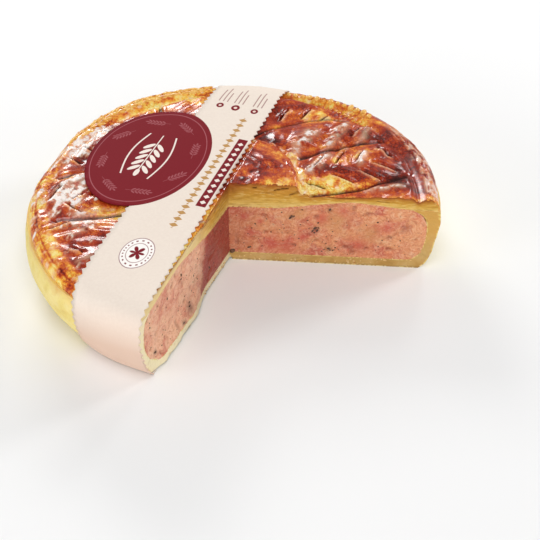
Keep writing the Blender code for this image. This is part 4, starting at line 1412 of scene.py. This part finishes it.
# Plain bars, lozenges, rules and small marks on the band
card = inked(card, bar(-32, 19, -11.1, -6.8), MAROON)
card = inked(card, times(tree, lozenges(0, 4.0, -8.95, 1.3, 1.35), bar(-30, 18, -11, -7)), PALE)
gold_row = bar(-48.3, 35.7, -17, -12)
for start, half_length, half_width in ((0, 1.4, 2.0), (2.1, 0.45, 0.65)):
    card = inked(card, times(tree, lozenges(start, 4.2, -14.5, half_length, half_width), gold_row), GOLD)
seal = oval(*SEAL, 9.4, 6.6)
card = inked(card, within(seal, -1, 1), "FBF7F2")
for ring, thickness in ((0.97, 0.02), (0.62, 0.016)):
    card = inked(card, within(seal, ring - thickness, ring + thickness, 0.02), MAROON)
seal_turn = calc(tree, "ARCTAN2", *offset(*SEAL)[::-1])
petals = calc(tree, "ABSOLUTE", calc(tree, "SINE", times(tree, seal_turn, 3)))
petals = calc(tree, "MULTIPLY_ADD", petals, 0.34, 0.12)
card = inked(card, remap(tree, calc(tree, "SUBTRACT", seal, petals), 0.03, -0.03), MAROON)
seal_dots = remap(tree, calc(tree, "SINE", times(tree, seal_turn, 20)), 0.1, 0.5)
card = inked(card, times(tree, seal_dots, within(seal, 0.76, 0.84, 0.02)), MAROON)
for middle, size in ((-12.3, 1.0), (-21.4, 1.15), (-28.9, 1.0)):
    card = inked(card, within(oval(RINGS_FORWARD, middle, 2.0 * size, 1.7 * size), -1, 1, 0.06), MAROON)
    card = inked(card, within(oval(RINGS_FORWARD, middle, 0.8 * size, 0.7 * size), -1, 1, 0.1), "EBD3C6")
    for shift, reach in ((-1.9, -70), (0.1, -72), (2.1, -67)):
        card = inked(card, bar(reach, -58.5, middle + shift - 0.28, middle + shift + 0.28), MAROON, 0.65)
tree.links.new(card, shader.inputs["Base Color"])
set_inputs(shader, {"Roughness": 0.7, "Specular IOR Level": 0.06})
relief(tree, shader, fibres, 0.00008, 0.6)

band = make_band()
band.data.materials.append(card_material)
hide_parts("paper_band")
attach(band, "root")


# The stage: a pale floor, soft studio light and the camera at the photo's angle
FLOOR_SIZE = 3.0
FLOOR_SHADE = 0.88
WORLD_LIGHT = 0.2
bpy.ops.mesh.primitive_plane_add(size=FLOOR_SIZE, location=(0, 0, 0))
floor = bpy.context.object
floor.name = "floor"
floor_material, _, shader, _ = new_material("pale_floor")
set_inputs(shader, {"Base Color": (FLOOR_SHADE, FLOOR_SHADE, FLOOR_SHADE, 1), "Roughness": 0.7})
floor.data.materials.append(floor_material)

world = bpy.data.worlds.new("studio")
world.use_nodes = True
set_inputs(world.node_tree.nodes["Background"], {"Color": (1, 1, 1, 1), "Strength": WORLD_LIGHT})
bpy.context.scene.world = world
bpy.context.scene.view_settings.view_transform = "Standard"


def softbox(name, place, target, width, height, power):
    """One soft light, aimed at a point."""
    light = bpy.data.lights.new(name, "AREA")
    light.shape = "RECTANGLE"
    light.size = width
    light.size_y = height
    light.energy = power
    lamp = new_object(name, light)
    lamp.location = place
    lamp.rotation_euler = (Vector(target) - Vector(place)).to_track_quat("-Z", "Y").to_euler()


softbox("back_strip_light", (-0.21, 0.66, 0.33), (-0.04, 0, 0.03), 0.28, 0.15, 2.4)
softbox("back_right_softbox", (0.33, 0.66, 0.5), (0.03, 0.02, 0.03), 0.16, 0.16, 0.8)
softbox("right_softbox", (0.72, 0.33, 0.27), (0, 0, 0.02), 0.2, 0.2, 2.8)
softbox("left_softbox", (-0.75, -0.4, 0.25), (0, 0, 0.02), 0.4, 0.4, 2.2)
softbox("front_softbox", (0.1, -0.85, 0.42), (0, 0, 0.02), 0.5, 0.5, 1.8)
softbox("high_softbox", (0, -0.45, 0.82), (0, 0, 0.02), 0.5, 0.5, 3.8)

ELEVATION = math.radians(39.92)
ROLL = math.radians(0.84)
DISTANCE = 6.0 * RIM_RADIUS * MM
FOCAL_PIXELS = 1163
IMAGE_WIDTH = 540
SENSOR_WIDTH = 36
ORIGIN_PIXEL = (238.2, 255.7)
NEAREST = 0.01
FARTHEST = 20
right = Vector((1, 0, 0))
up = Vector((0, math.sin(ELEVATION), math.cos(ELEVATION)))
back = Vector((0, -math.cos(ELEVATION), math.sin(ELEVATION)))
camera_right = right * math.cos(ROLL) - up * math.sin(ROLL)
camera_up = right * math.sin(ROLL) + up * math.cos(ROLL)
camera_data = bpy.data.cameras.new("camera")
camera = new_object("camera", camera_data)
camera_data.lens = FOCAL_PIXELS * SENSOR_WIDTH / IMAGE_WIDTH
camera_data.sensor_width = SENSOR_WIDTH
camera_data.clip_start = NEAREST
camera_data.clip_end = FARTHEST
axes = Matrix((camera_right, camera_up, back)).transposed()
aside = math.atan((IMAGE_WIDTH / 2 - ORIGIN_PIXEL[0]) / FOCAL_PIXELS)
above = math.atan((ORIGIN_PIXEL[1] - IMAGE_WIDTH / 2) / FOCAL_PIXELS)
turned = axes @ Matrix.Rotation(-aside, 3, "Y") @ Matrix.Rotation(above, 3, "X")
camera.matrix_world = Matrix.Translation(back * DISTANCE) @ turned.to_4x4()
bpy.context.scene.camera = camera
